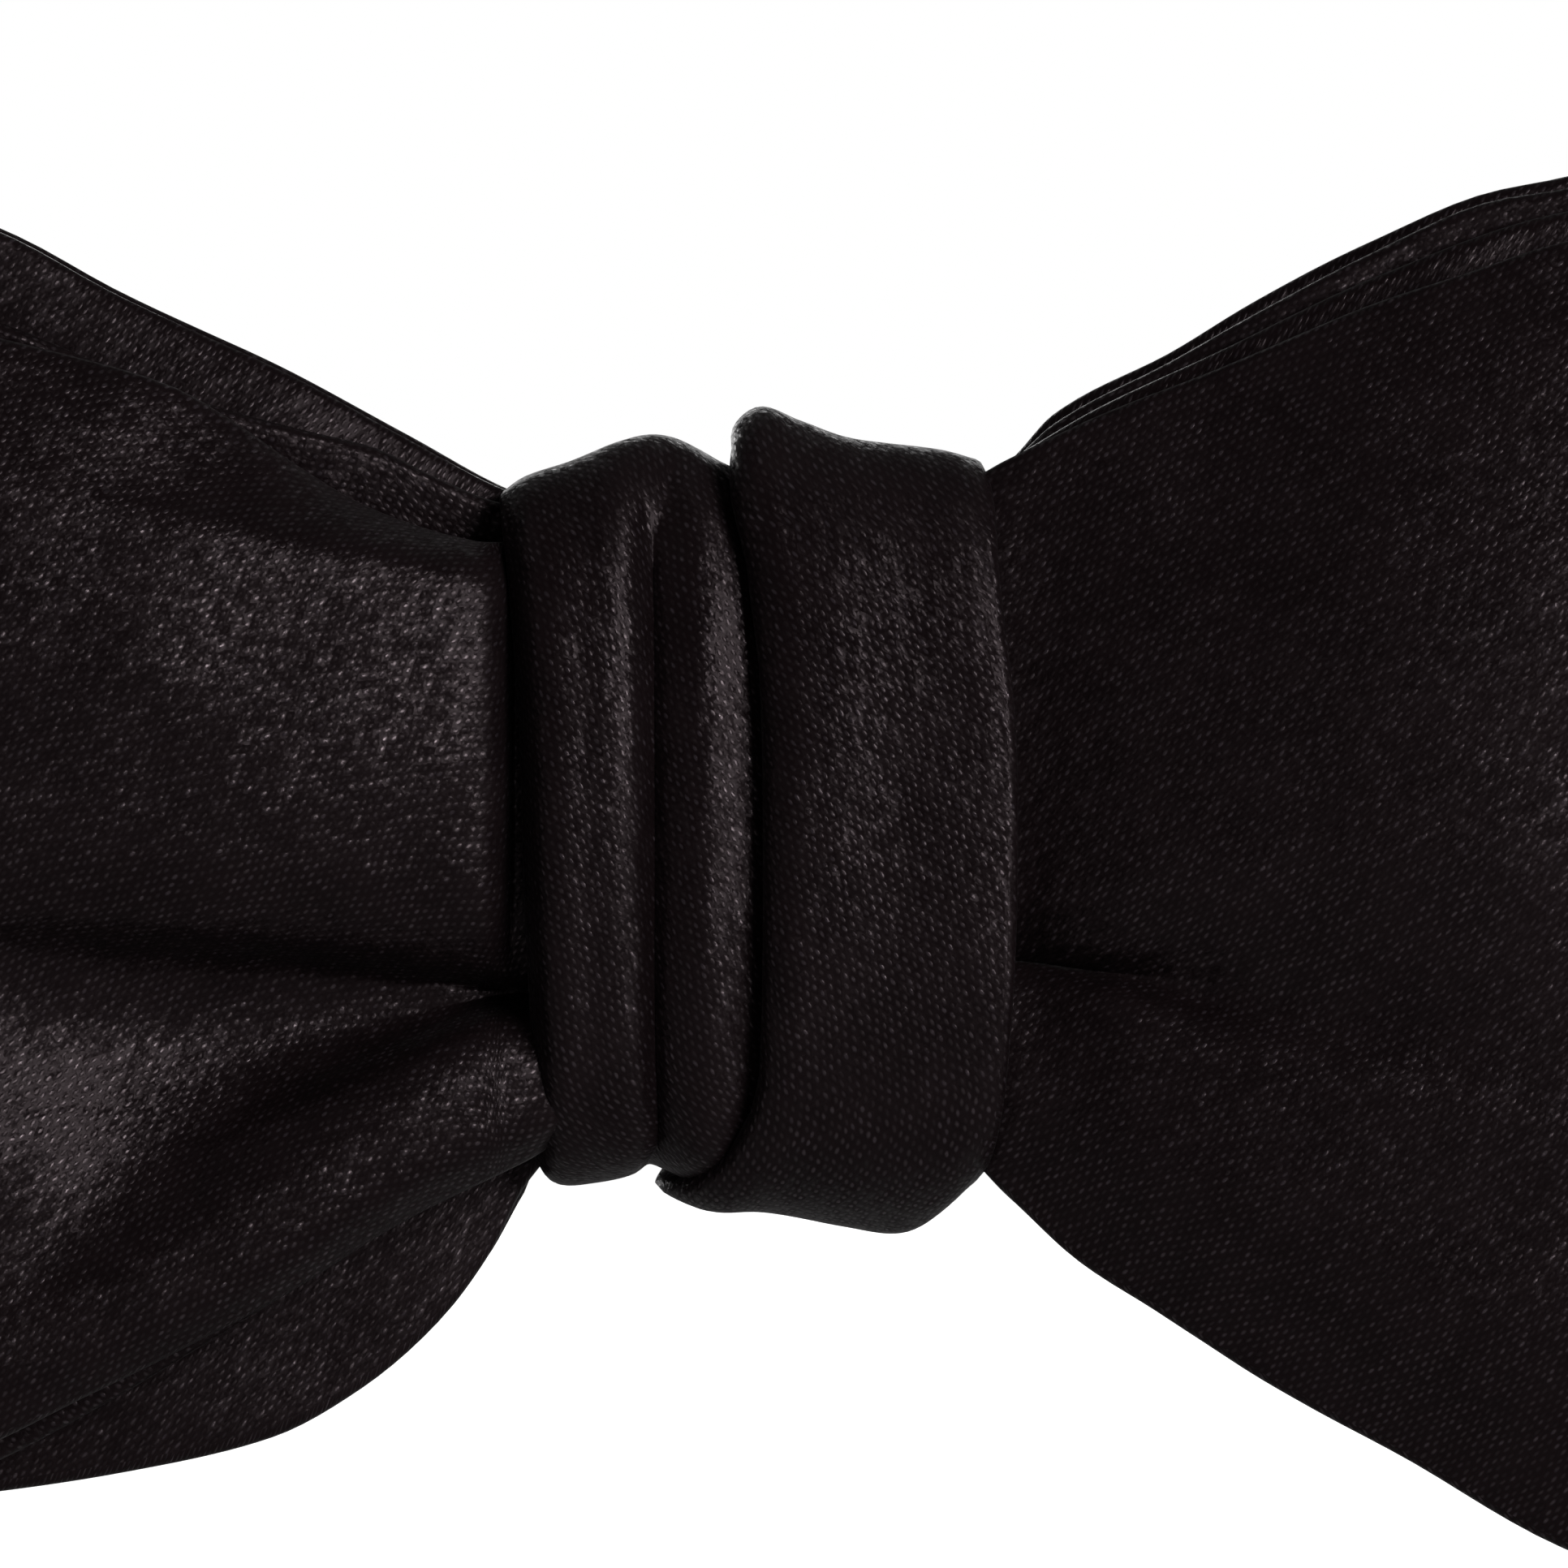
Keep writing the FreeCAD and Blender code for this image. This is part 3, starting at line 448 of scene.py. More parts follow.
def satin(name, turn=0.0, sparkle=1.0, gloss=0.38):
    """Black satin. Its fine threads run at the angle turn to the strip, and the binding points of its
    eight-thread repeat make a slanted lattice of small glints: shinier, smoother dots, and on a few of
    them a painted glint, a lighter base colour."""
    n = Nodes(bpy.data.materials.new(name))
    uv = n.add("ShaderNodeUVMap", uv_map="cloth").outputs["UV"]
    thread = n.pattern("ShaderNodeVectorRotate", uv, {"Angle": turn}, rotation_type="Z_AXIS")
    wobble = n.pattern("ShaderNodeTexNoise", uv, {"Scale": 0.9})
    offset = n.vector("SCALE", wobble.outputs["Color"])
    offset.node.inputs["Scale"].default_value = 0.22
    cloth = n.vector("ADD", thread.outputs["Vector"], offset)

    # binding points: a lattice with the steps (1, 3) and (3, 1) threads
    repeat = 8.0 * THREAD_PITCH
    lattice = n.add("ShaderNodeCombineXYZ")
    for axis, step in (("X", (-1 / repeat, 3 / repeat, 0)), ("Y", (3 / repeat, -1 / repeat, 0))):
        n.link(n.vector("DOT_PRODUCT", cloth, step, output=1), lattice.inputs[axis])
    cell = n.pattern("ShaderNodeTexVoronoi", lattice.outputs[0], {"Scale": 1.0, "Randomness": 0.22},
                     voronoi_dimensions="2D", feature="F1")
    dot = n.ramp(cell.outputs["Distance"], 0.10, 0.36, 1.0, 0.0)
    chance = n.add("ShaderNodeSeparateColor")
    n.link(cell.outputs["Color"], chance.inputs[0])
    # a few lucky dots: a painted glint lightens their base colour, and they are also made smoother
    painted_glint_and_gloss = n.maths("MULTIPLY", dot, n.maths("POWER", chance.outputs["Red"], 3.0))

    # fine threads along the strip, slightly uneven
    wave = n.bands(cloth, "Y", Scale=1 / (THREAD_PITCH * 20), Distortion=0.6, Detail=1.0, Detail_Scale=2.0)
    body = n.noise(uv, 0.35, 3.0)
    grain = n.noise(cloth, 9.0, 2.0, 0.7)

    dark, light = (
        tuple(colour * part for colour, part in zip(TINT, parts)) + (1,) for parts in (TINT_DARK, TINT_LIGHT))
    shade = n.mix(n.ramp(body, 0.35, 0.65), dark, light)
    # painted glint: the lucky dots' base colour is mixed towards a lighter glint colour; sparkle scales this
    # painted glint as well as the threads' real lean
    n.set(Base_Color=n.mix(n.maths("MULTIPLY", painted_glint_and_gloss, 0.5 * sparkle), shade, PAINTED_GLINT_COLOUR))
    roughness = n.maths("ADD", n.maths("MULTIPLY", grain, 0.12), gloss - 0.06)
    n.set(Roughness=n.maths("SUBTRACT", roughness, n.maths("MULTIPLY", painted_glint_and_gloss, 0.14)))
    luck = n.maths("MULTIPLY", n.maths("POWER", chance.outputs["Green"], 2.0), CHANCE_SHINE)
    soft_dot = n.ramp(cell.outputs["Distance"], 0.06, 0.40, 1.0, 0.0)
    shine = n.maths("MULTIPLY", soft_dot, n.maths("ADD", luck, DOT_SHINE))
    n.set(Specular_IOR_Level=n.maths("ADD", shine, BASE_SHINE), Specular_Tint=(1.0, 0.82, 0.87, 1))
    n.set(Anisotropic=0.35, Sheen_Weight=0.02, Sheen_Roughness=0.35)

    # each thread float leans its own way, which is what sparkles
    jitter = n.pattern("ShaderNodeTexVoronoi", cloth, {"Scale": 1 / LEAN_SIZE},
                       voronoi_dimensions="2D", feature="F1")
    lean_colour = n.mix(0.5, jitter.outputs["Color"], cell.outputs["Color"])
    lean = n.add("ShaderNodeNormalMap", uv_map="cloth", space="TANGENT")
    lean.inputs["Strength"].default_value = 0.46 * sparkle
    n.link(n.mix(0.34, (0.5, 0.5, 1.0, 1.0), lean_colour), lean.inputs["Color"])
    height = n.maths("ADD", n.maths("MULTIPLY", wave, 0.35), n.maths("MULTIPLY", dot, 0.6))
    tangent = n.add("ShaderNodeTangent", direction_type="UV_MAP", uv_map="cloth")
    n.set(Normal=n.bump(height, 0.55, 0.00003, lean.outputs["Normal"]), Tangent=tangent.outputs[0])
    return n.owner


def canvas(name):
    """Stiff grey-white interlining with an open plain weave."""
    n = Nodes(bpy.data.materials.new(name))
    uv = n.add("ShaderNodeUVMap", uv_map="cloth").outputs["UV"]
    weave = n.maths("MAXIMUM", *(n.bands(uv, direction, Scale=0.16, Distortion=0.8) for direction in "XY"))
    fluff = n.noise(uv, 2.5, 4.0)
    n.set(Base_Color=n.mix(weave, (0.30, 0.28, 0.25, 1), (0.62, 0.59, 0.53, 1)))
    n.set(Roughness=n.maths("ADD", n.maths("MULTIPLY", fluff, 0.2), 0.75))
    n.set(Normal=n.bump(weave, 0.6, 0.0001))
    return n.owner


def sewing_thread(name):
    """Black twisted polyester thread."""
    n = Nodes(bpy.data.materials.new(name))
    where = n.add("ShaderNodeTexCoord").outputs["Object"]
    twist = n.bands(where, "DIAGONAL", Scale=900.0, Distortion=1.5)
    fibre = n.noise(where, 5000.0, 2.0)
    n.set(Base_Color=n.mix(twist, (0.010, 0.009, 0.010, 1), (0.030, 0.027, 0.030, 1)))
    n.set(Roughness=n.maths("ADD", n.maths("MULTIPLY", fibre, 0.25), 0.4))
    n.set(Normal=n.bump(twist, 0.7, 0.00005))
    return n.owner


def nickel(name):
    """Stamped metal hardware under a dark nickel plating, in random brighter and darker blotches."""
    n = Nodes(bpy.data.materials.new(name))
    where = n.add("ShaderNodeTexCoord").outputs["Object"]
    stretch = n.pattern("ShaderNodeMapping", where, {"Scale": (1.0, 1.0, 0.12)})
    brushed = n.noise(stretch.outputs[0], 6000.0, 3.0, 0.6)
    blotch = n.noise(where, 260.0, 3.0)
    n.set(Base_Color=n.mix(n.ramp(blotch, 0.4, 0.7), (0.34, 0.33, 0.32, 1), (0.46, 0.45, 0.44, 1)))
    n.set(Roughness=n.maths("ADD", n.maths("MULTIPLY", brushed, 0.16), 0.20))
    n.set(Normal=n.bump(brushed, 0.12, 0.00002))
    n.set(Metallic=1.0)
    return n.owner


SATIN_BOW = satin("bow_satin")
SATIN_BACK = satin("back_bow_satin", sparkle=0.9, gloss=0.42)
SATIN_KNOT = satin("knot_satin", turn=math.radians(8))
SATIN_BAND = satin("band_satin", sparkle=0.8, gloss=0.42)
CANVAS = canvas("interlining_canvas")
THREAD = sewing_thread("black_thread")
METAL = nickel("plated_hardware")


# ---------------------------------------------------------------- the bows

# A wing's ply is drawn by guides, from its lower long edge to its upper one. A guide is a line that runs
# from the middle of the knot out to the wing's end: an edge, or the crest or valley of a fold.
# Its points are (distance from the middle, height, distance in front of the knot's back).

FRONT_RIGHT = [
    [(0, -10.8, 11.0), (7, -11.6, 11.1), (9.5, -13.8, 11.3), (12, -16.1, 11.6), (15, -18.0, 12.0),
     (19, -20.5, 12.6), (24, -23.3, 13.1), (30, -26.7, 13.4), (40, -30.2, 13.2), (50, -31.0, 12.6),
     (58, -29.8, 11.8)],
    [(0, -8.0, 11.5), (9.5, -9.6, 12.2), (15, -12.0, 13.7), (19, -13.9, 14.5), (24, -16.0, 15.2),
     (30, -18.3, 15.6), (40, -20.0, 15.4), (50, -20.5, 14.3), (58, -20.0, 12.3)],
    [(0, -5.6, 11.2), (9.5, -6.1, 11.3), (14, -7.2, 12.9), (19, -8.9, 14.2), (24, -10.2, 15.1),
     (30, -12.0, 15.7), (40, -13.0, 15.6), (58, -13.0, 12.4)],
    [(0, -4.8, 10.6), (9.5, -5.3, 10.0), (12, -5.6, 10.6), (15, -6.1, 11.7), (19, -7.0, 13.2),
     (24, -8.0, 14.5), (30, -9.2, 15.4), (40, -10.0, 15.5), (58, -10.0, 12.4)],
    [(0, -3.8, 11.0), (9.5, -4.5, 11.0), (12, -4.4, 11.9), (15, -4.2, 12.9), (19, -4.1, 14.2),
     (24, -4.2, 15.2), (30, -5.0, 15.8), (40, -5.5, 15.7), (58, -5.5, 12.5)],
    [(0, -1.8, 11.6), (9.5, -2.4, 12.0), (12, -2.2, 12.8), (15, -1.9, 13.8), (19, -1.6, 14.9),
     (24, -1.4, 15.7), (30, -1.0, 16.1), (40, 0.0, 15.9), (50, 0.0, 14.6), (58, 0.0, 12.6)],
    [(0, 4.0, 11.6), (9.5, 4.4, 12.2), (15, 5.2, 13.6), (19, 5.9, 14.6), (24, 6.8, 15.5), (30, 8.0, 16.0),
     (40, 9.0, 15.8), (50, 9.0, 14.6), (58, 8.5, 12.5)],
    [(0, 8.6, 11.2), (9.5, 9.8, 11.7), (15, 11.4, 12.8), (24, 14.6, 14.3), (30, 16.2, 14.9),
     (40, 17.4, 14.8), (50, 17.4, 13.8), (58, 16.6, 12.1)],
    [(0, 11.0, 10.8), (7, 11.9, 10.8), (9.3, 13.1, 11.1), (12.6, 14.7, 11.5), (17.1, 16.5, 12.1),
     (20.2, 17.8, 12.6), (23.2, 19.0, 13.0), (26.2, 20.0, 13.4), (30.2, 21.2, 13.7), (40, 22.8, 13.5),
     (50, 22.8, 12.8), (58, 21.6, 11.7)],
]

FRONT_LEFT = [
    [(0, -10.8, 11.0), (7, -11.4, 11.1), (8.9, -12.4, 11.5), (13.2, -14.5, 12.1), (18.3, -17.5, 12.8),
     (25.3, -21.2, 13.4), (28.3, -22.7, 13.6), (40, -27.3, 13.4), (50, -28.6, 12.8), (58, -27.4, 11.8)],
    [(0, -9.8, 11.4), (9, -11.2, 12.8), (13, -13.0, 13.5), (18, -15.9, 13.9), (28, -20.9, 14.4),
     (40, -24.6, 14.4), (58, -24.4, 12.0)],
    [(0, -8.8, 11.5), (9, -9.4, 12.8), (13, -11.2, 13.6), (18, -14.0, 14.0), (28, -19.2, 14.5),
     (40, -22.4, 14.6), (58, -22.0, 12.2)],
    [(0, -8.0, 11.2), (9, -7.9, 12.2), (13, -9.3, 13.0), (18, -11.8, 13.2), (23, -14.5, 13.5),
     (28, -17.2, 14.1), (40, -19.8, 14.9), (58, -19.6, 12.3)],
    [(0, -7.5, 10.9), (9, -7.1, 10.6), (13, -8.2, 11.0), (16, -9.2, 11.3), (18, -10.0, 11.6),
     (23, -11.6, 12.4), (28, -12.3, 13.7), (34, -13.0, 15.2), (40, -13.5, 15.6), (58, -13.0, 12.5)],
    [(0, -7.0, 10.5), (9, -6.7, 10.0), (13, -7.2, 10.3), (18, -7.9, 10.8), (23, -8.2, 11.7),
     (28, -8.4, 13.1), (34, -8.8, 14.7), (40, -9.0, 15.5), (58, -9.0, 12.5)],
    [(0, -6.4, 10.4), (9, -6.2, 9.9), (11, -6.1, 10.1), (13, -6.0, 10.4), (18, -5.6, 11.2),
     (23, -5.6, 12.3), (28, -5.4, 13.5), (40, -5.0, 15.4), (58, -5.0, 12.5)],
    [(0, -5.2, 11.2), (8.8, -5.7, 11.1), (10.2, -5.2, 11.9), (13, -4.6, 12.8), (18, -3.9, 14.1),
     (23, -3.4, 15.2), (28, -3.0, 15.7), (40, -2.5, 15.9), (58, -2.5, 12.6)],
    [(0, -2.8, 11.6), (9.5, -3.0, 11.9), (10.0, -2.9, 13.0), (10.4, -2.7, 13.6), (13, -2.0, 14.3),
     (18, -1.2, 15.4), (23, -0.6, 16.0), (28, 0.0, 16.2), (40, 0.4, 16.2), (50, 0.4, 14.8),
     (58, 0.4, 12.6)],
    [(0, 2.6, 11.6), (9.5, 3.0, 12.1), (9.95, 3.1, 13.6), (10.4, 3.2, 14.2), (13, 3.5, 14.9),
     (18, 4.2, 15.7), (23, 4.8, 16.2), (28, 5.2, 16.4), (40, 6.0, 16.2), (50, 6.0, 14.8), (58, 6.0, 12.6)],
    [(0, 7.2, 11.4), (9.5, 8.2, 11.9), (9.95, 8.4, 13.3), (10.4, 8.7, 13.9), (13, 9.1, 14.5),
     (17, 9.9, 15.0), (20.8, 10.8, 15.4), (24, 11.4, 15.6), (28.3, 12.7, 15.7), (40, 14.6, 15.5),
     (50, 15.0, 14.2), (58, 14.6, 12.3)],
    [(0, 8.0, 11.2), (9.5, 8.8, 11.7), (10.0, 9.1, 12.9), (10.4, 9.3, 13.4), (13, 9.7, 14.0),
     (16.8, 10.5, 14.5), (20.8, 11.5, 14.9), (24, 12.3, 15.1), (28.3, 14.0, 15.3), (40, 16.6, 15.0),
     (58, 16.6, 12.2)],
    [(0, 9.4, 11.0), (9.4, 9.1, 11.4), (10.2, 9.6, 12.7), (13, 10.2, 13.1), (16.8, 11.4, 13.4),
     (20.8, 13.2, 13.9), (24, 14.5, 14.5), (28.3, 15.8, 14.6), (40, 18.8, 14.3), (58, 19.2, 11.9)],
    [(0, 11.0, 10.8), (7, 10.2, 10.9), (10.2, 10.0, 11.9), (11.4, 10.2, 12.1), (13.5, 10.8, 12.1),
     (15.6, 11.7, 11.8), (17.6, 12.9, 12.2), (19.5, 14.3, 12.8), (22, 15.8, 13.4), (25.9, 17.0, 13.8),
     (28.3, 17.6, 13.9), (40, 20.8, 13.6), (50, 22.0, 12.9), (58, 21.2, 11.7)],
]

# the plies behind: lower edge, folds, upper edge
FRONT_REAR_RIGHT = [
    [(0, -10.6, 9.0), (7, -11.2, 9.0), (9.5, -13.2, 9.1), (19, -19.8, 9.5), (30, -25.8, 9.7),
     (40, -29.6, 9.6), (50, -30.6, 9.5), (58, -29.6, 9.2)],
    [(0, -5.0, 9.0), (9.5, -6.0, 9.1), (19, -9.0, 9.5), (30, -12.0, 9.7), (40, -13.0, 9.6),
     (58, -13.0, 9.2)],
    [(0, 4.0, 9.0), (9.5, 4.4, 9.2), (19, 6.0, 9.8), (30, 8.0, 10.2), (58, 8.5, 9.2)],
    [(0, 10.8, 9.0), (7, 11.9, 9.0), (9.5, 13.2, 9.2), (12.6, 15.0, 9.4), (17.1, 17.1, 9.8),
     (23.2, 20.0, 10.2), (30.2, 22.4, 10.4), (40, 23.6, 10.2), (50, 23.4, 9.8), (58, 22.0, 9.2)],
]
FRONT_REAR_LEFT = [
    [(0, -10.6, 9.0), (7, -11.3, 9.0), (8.9, -12.3, 9.2), (13.2, -14.4, 9.6), (18.3, -17.7, 10.2),
     (25.3, -21.9, 10.8), (28.3, -23.5, 10.8), (40, -27.9, 10.2), (50, -29.0, 9.7), (58, -27.8, 9.2)],
    [(0, -5.0, 9.0), (9.5, -6.0, 9.1), (28, -9.0, 9.9), (58, -9.0, 9.2)],
    [(0, 4.0, 9.0), (9.5, 4.4, 9.1), (28, 6.0, 9.9), (58, 7.0, 9.2)],
    [(0, 10.8, 9.0), (7, 11.2, 9.0), (9.6, 11.5, 9.1), (12, 12.4, 9.3), (14.5, 13.6, 9.6),
     (17, 14.2, 10.0), (22, 15.6, 10.4), (28.3, 18.2, 10.4), (40, 21.6, 10.1), (50, 22.6, 9.8),
     (58, 21.6, 9.2)],
]
BACK_FRONT_RIGHT = [
    [(0, -10.8, 7.8), (7, -11.2, 7.8), (9.5, -12.6, 7.8), (20, -18.4, 7.9), (30, -22.4, 7.7),
     (45, -24.6, 7.2), (58, -24.6, 6.2)],
    [(0, -5.0, 7.8), (9.5, -5.5, 7.8), (20, -8.0, 7.9), (58, -10.0, 6.2)],
    [(0, 5.0, 7.8), (9.5, 5.5, 7.8), (20, 8.0, 7.9), (58, 10.0, 6.2)],
    [(0, 10.8, 7.8), (7, 11.6, 7.8), (9.4, 13.0, 7.8), (11.1, 14.5, 7.9), (15.6, 16.9, 8.2),
     (18.6, 18.6, 8.5), (23.2, 21.0, 8.8), (27.7, 22.9, 8.9), (30.2, 23.3, 8.9), (36, 24.9, 8.7),
     (45, 26.3, 8.0), (58, 26.2, 6.4)],
]
BACK_FRONT_LEFT = [
    [(0, -10.8, 7.8), (7, -11.6, 7.8), (8.7, -13.2, 7.8), (10.2, -16.0, 8.0), (12.0, -18.4, 8.3),
     (15.0, -21.0, 8.6), (18.3, -22.8, 8.8), (23.8, -24.1, 8.9), (28.3, -24.8, 8.8), (40, -26.0, 8.2),
     (58, -25.6, 6.4)],
    [(0, -7.0, 7.8), (9, -9.0, 7.8), (13, -13.0, 8.2), (20, -17.5, 8.7), (28, -19.5, 8.8),
     (58, -18.0, 6.3)],
    [(0, 5.0, 7.8), (9.5, 5.5, 7.8), (20, 8.0, 8.0), (58, 10.0, 6.2)],
    [(0, 8.6, 7.8), (9.5, 10.4, 8.0), (14, 12.2, 8.6), (20, 14.8, 8.9), (28, 18.0, 8.9), (58, 21.6, 6.4)],
    [(0, 10.8, 7.8), (7, 11.2, 7.8), (9.5, 12.0, 7.9), (13.2, 13.9, 8.1), (18.3, 16.6, 8.4),
     (24.4, 19.5, 8.6), (28.3, 21.6, 8.6), (40, 25.6, 8.0), (50, 26.8, 7.2), (58, 26.2, 6.4)],
]
BACK_REAR_RIGHT = [
    [(0, -10.6, 5.5), (7, -11.0, 5.5), (9.5, -12.4, 5.4), (20, -18.0, 4.2), (30, -22.0, 3.1),
     (45, -24.4, 2.7), (58, -24.2, 3.4)],
    [(0, -7.0, 5.5), (9.5, -8.6, 5.3), (20, -12.0, 3.2), (30, -14.6, 2.4), (45, -15.6, 2.3),
     (58, -15.6, 3.2)],
    [(0, -1.0, 5.5), (9.5, -1.4, 5.6), (14, -1.6, 5.4), (20, -1.8, 4.4), (30, -2.0, 3.2), (45, -2.0, 2.7),
     (58, -2.0, 3.2)],
    [(0, 6.0, 5.5), (9.5, 7.2, 5.3), (20, 10.4, 3.2), (30, 12.8, 2.3), (45, 14.6, 2.3), (58, 14.6, 3.2)],
    [(0, 10.8, 5.5), (7, 11.6, 5.5), (9.5, 13.2, 5.4), (11.1, 14.9, 5.2), (15.6, 17.3, 4.6),
     (18.6, 19.1, 4.2), (23.2, 21.5, 3.7), (27.7, 23.4, 3.4), (30.2, 23.9, 3.3), (36, 25.3, 3.0),
     (45, 26.7, 2.9), (58, 26.5, 3.5)],
]
BACK_REAR_LEFT = [
    [(0, -10.6, 5.5), (7, -11.4, 5.5), (8.7, -13.4, 5.4), (10.2, -16.0, 5.2), (12.0, -18.2, 4.9),
     (15.0, -20.6, 4.5), (18.3, -22.4, 4.1), (23.8, -23.8, 3.7), (28.3, -24.5, 3.4), (40, -25.8, 2.9),
     (58, -25.3, 3.5)],
    [(0, -7.0, 5.5), (9.5, -8.8, 5.3), (20, -13.4, 3.2), (30, -15.2, 2.4), (45, -16.0, 2.3),
     (58, -15.8, 3.2)],
    [(0, 1.0, 5.5), (9.5, 1.2, 5.6), (14, 1.3, 5.4), (20, 1.4, 4.4), (30, 1.6, 3.2), (45, 1.8, 2.7),
     (58, 2.0, 3.2)],
    [(0, 7.0, 5.5), (9.5, 8.0, 5.3), (20, 11.0, 3.2), (30, 14.4, 2.3), (45, 16.6, 2.3), (58, 16.4, 3.2)],
    [(0, 10.8, 5.5), (7, 11.2, 5.5), (9.5, 12.1, 5.4), (13.2, 14.1, 5.0), (18.3, 16.8, 4.4),
     (24.4, 19.7, 3.8), (28.3, 21.8, 3.5), (40, 25.9, 3.0), (50, 27.2, 3.0), (58, 26.5, 3.5)],
]

# rows of a wing: (distance from the middle, rows up to it), closest where a bow comes out of the knot
WING_ROWS = [(8.5, 8), (11.5, 15), (20.0, 15), (58.0, 42)]
WING_STEPS = 1 + sum(rows for reach, rows in WING_ROWS)
END_STEPS = 9        # rows round the fold at a wing's end
ACROSS = 64          # columns across a bow's strip


# (distance from the middle, half height that the knot leaves for a bow)
KNOT_ROOM = [(0, 10.4), (6.8, 10.8), (8.7, 13.2), (9.6, 60)]
EDGE_START, EDGE_SHARE = 0.06, 0.15     # how far the columns crowd towards the long edges


def ply_surface(guides, side):
    """Grid of a wing's ply: rows from the middle outwards, columns from the lower edge to the upper."""
    near = np.zeros(1)
    for reach, rows in WING_ROWS:
        near = np.concatenate([near, np.linspace(near[-1], reach, rows + 1)[1:]])
    lines = np.stack([pchip([p[0] for p in g], [p[1:] for p in g], near) for g in guides], axis=1)
    room = np.interp(near, *zip(*KNOT_ROOM))
    for upper, edge in ((True, lines[:, -1, 0]), (False, -lines[:, 0, 0])):
        squeeze = np.minimum(1, room / edge)[:, None]
        heights = lines[:, :, 0]
        lines[:, :, 0] = np.where((heights > 0) == upper, heights * squeeze, heights)
    marks = along(lines[WING_STEPS // 3])
    marks = marks / marks[-1]
    crowded = 0.5 - 0.5 * np.cos(np.linspace(EDGE_START, 1, ACROSS) * math.pi)
    crowded = (crowded - crowded[0]) / (1 - crowded[0])
    columns = np.linspace(0, 1, ACROSS) * (1 - EDGE_SHARE) + crowded * EDGE_SHARE
    grid = np.zeros((WING_STEPS, ACROSS, 3))
    for i in range(WING_STEPS):
        section = pchip(marks, lines[i], columns)
        grid[i, :, 0] = side * near[i]
        grid[i, :, 1] = -section[:, 1]
        grid[i, :, 2] = section[:, 0]
    return grid


def end_fold(front, rear, side, bulge):
    """Rows that turn a wing's front ply into its rear ply round the wing's end."""
    rows = []
    for t in np.linspace(0, math.pi, END_STEPS + 2)[1:-1]:
        share = (1 - math.cos(t)) / 2
        row = front * (1 - share) + rear * share
        row[:, 0] += side * bulge * math.sin(t)
        rows.append(row)
    return np.stack(rows)


RUFFLE_DEPTH = 0.16
RUFFLE_START, RUFFLE_FULL = 9, 22       # distances from the middle where the unevenness begins and is full


def ruffle(grid, seed):
    """Small soft unevenness of the cloth, none of it at the knot."""
    out = grid.copy()
    normal = grid_normals(grid, True)
    rows, columns = grid.shape[:2]
    for i in range(rows):
        away = float(smooth(RUFFLE_START, RUFFLE_FULL, abs(grid[i, 0, 0])))
        if away == 0:
            continue
        for k in range(columns):
            p = grid[i, k]
            wave = noise.noise(Vector((p[0] * 0.11 + seed, p[2] * 0.16, p[1] * 0.05 + seed * 3.1)))
            fine = noise.noise(Vector((p[0] * 0.33 + seed, p[2] * 0.4 + 7.0, seed)))
            out[i, k] = p + normal[i, k] * away * RUFFLE_DEPTH * (wave * 2.2 + fine * 0.5)
    return out


def bow_grid(front_left, front_right, rear_right, rear_left, bulge, seed):
    """Middle surface of a whole bow: a closed loop, from the front's middle round the right wing and back."""
    fr, fl = ply_surface(front_right, 1), ply_surface(front_left, -1)
    rr, rl = ply_surface(rear_right, 1), ply_surface(rear_left, -1)
    right_end = end_fold(fr[-1], rr[-1], 1, bulge)
    left_end = end_fold(rl[-1], fl[-1], -1, bulge)
    loop = np.concatenate([fr, right_end, rr[::-1], rl[1:], left_end, fl[::-1][:-1]])
    return ruffle(loop, seed)


COVER_HALF, ROOM_HALF, LINING_HALF = 0.42, 0.24, 0.20     # half thickness of strip, room inside, interlining
LINING_MARGIN = 3       # columns between a bow's interlining and the strip's long edges
END_BULGE = 1.5


def interlining(name, grid, margin, closed, half=LINING_HALF):
    """The stiffener inside a strip, a margin of columns inside its long edges."""
    verts, faces, uvs = skin(inset(grid, margin), half, closed)
    return new_object(name, verts, faces, uvs, CANVAS)


def make_bow(name, grid, material):
    """A bow's satin strip and its interlining."""
    cover = strip_piece(name + "_cloth", grid, COVER_HALF, material, closed=True, hollow=ROOM_HALF)
    declare(cover, name, "bow")
    lining = interlining(name + "_canvas", grid, LINING_MARGIN, True)
    declare(lining, name + "_interlining", "bow")


front_grid = bow_grid(FRONT_LEFT, FRONT_RIGHT, FRONT_REAR_RIGHT, FRONT_REAR_LEFT, END_BULGE, 1.7)
back_grid = bow_grid(BACK_FRONT_LEFT, BACK_FRONT_RIGHT, BACK_REAR_RIGHT, BACK_REAR_LEFT, END_BULGE, 5.3)
make_bow("front_bow", front_grid, SATIN_BOW)
make_bow("back_bow", back_grid, SATIN_BACK)


# ---------------------------------------------------------------- the knot

# The knot's strip goes round an upright oval. Its pleats are drawn by sections across it: points
# (x, height over the oval) from its left folded edge, over the left pleat, down the valley, over the
# middle roll, under the right pleat, back, round the right pleat's rolled edge and out to its right edge.

knot_low, knot_high = node_box("knot_wrap")
stitch_low, stitch_high = node_box("knot_stitches")
OVAL_FRONT = -knot_low[1] - 0.8
OVAL_BACK = -knot_high[1] + 2.1
OVAL_TOP = knot_high[2] - 2.15
OVAL_POWER = 2.8        # 2 would be an ellipse, more is squarer
OVAL_STEP = 0.02        # radians to each side, for the oval's direction
KNOT_HALF = 0.36

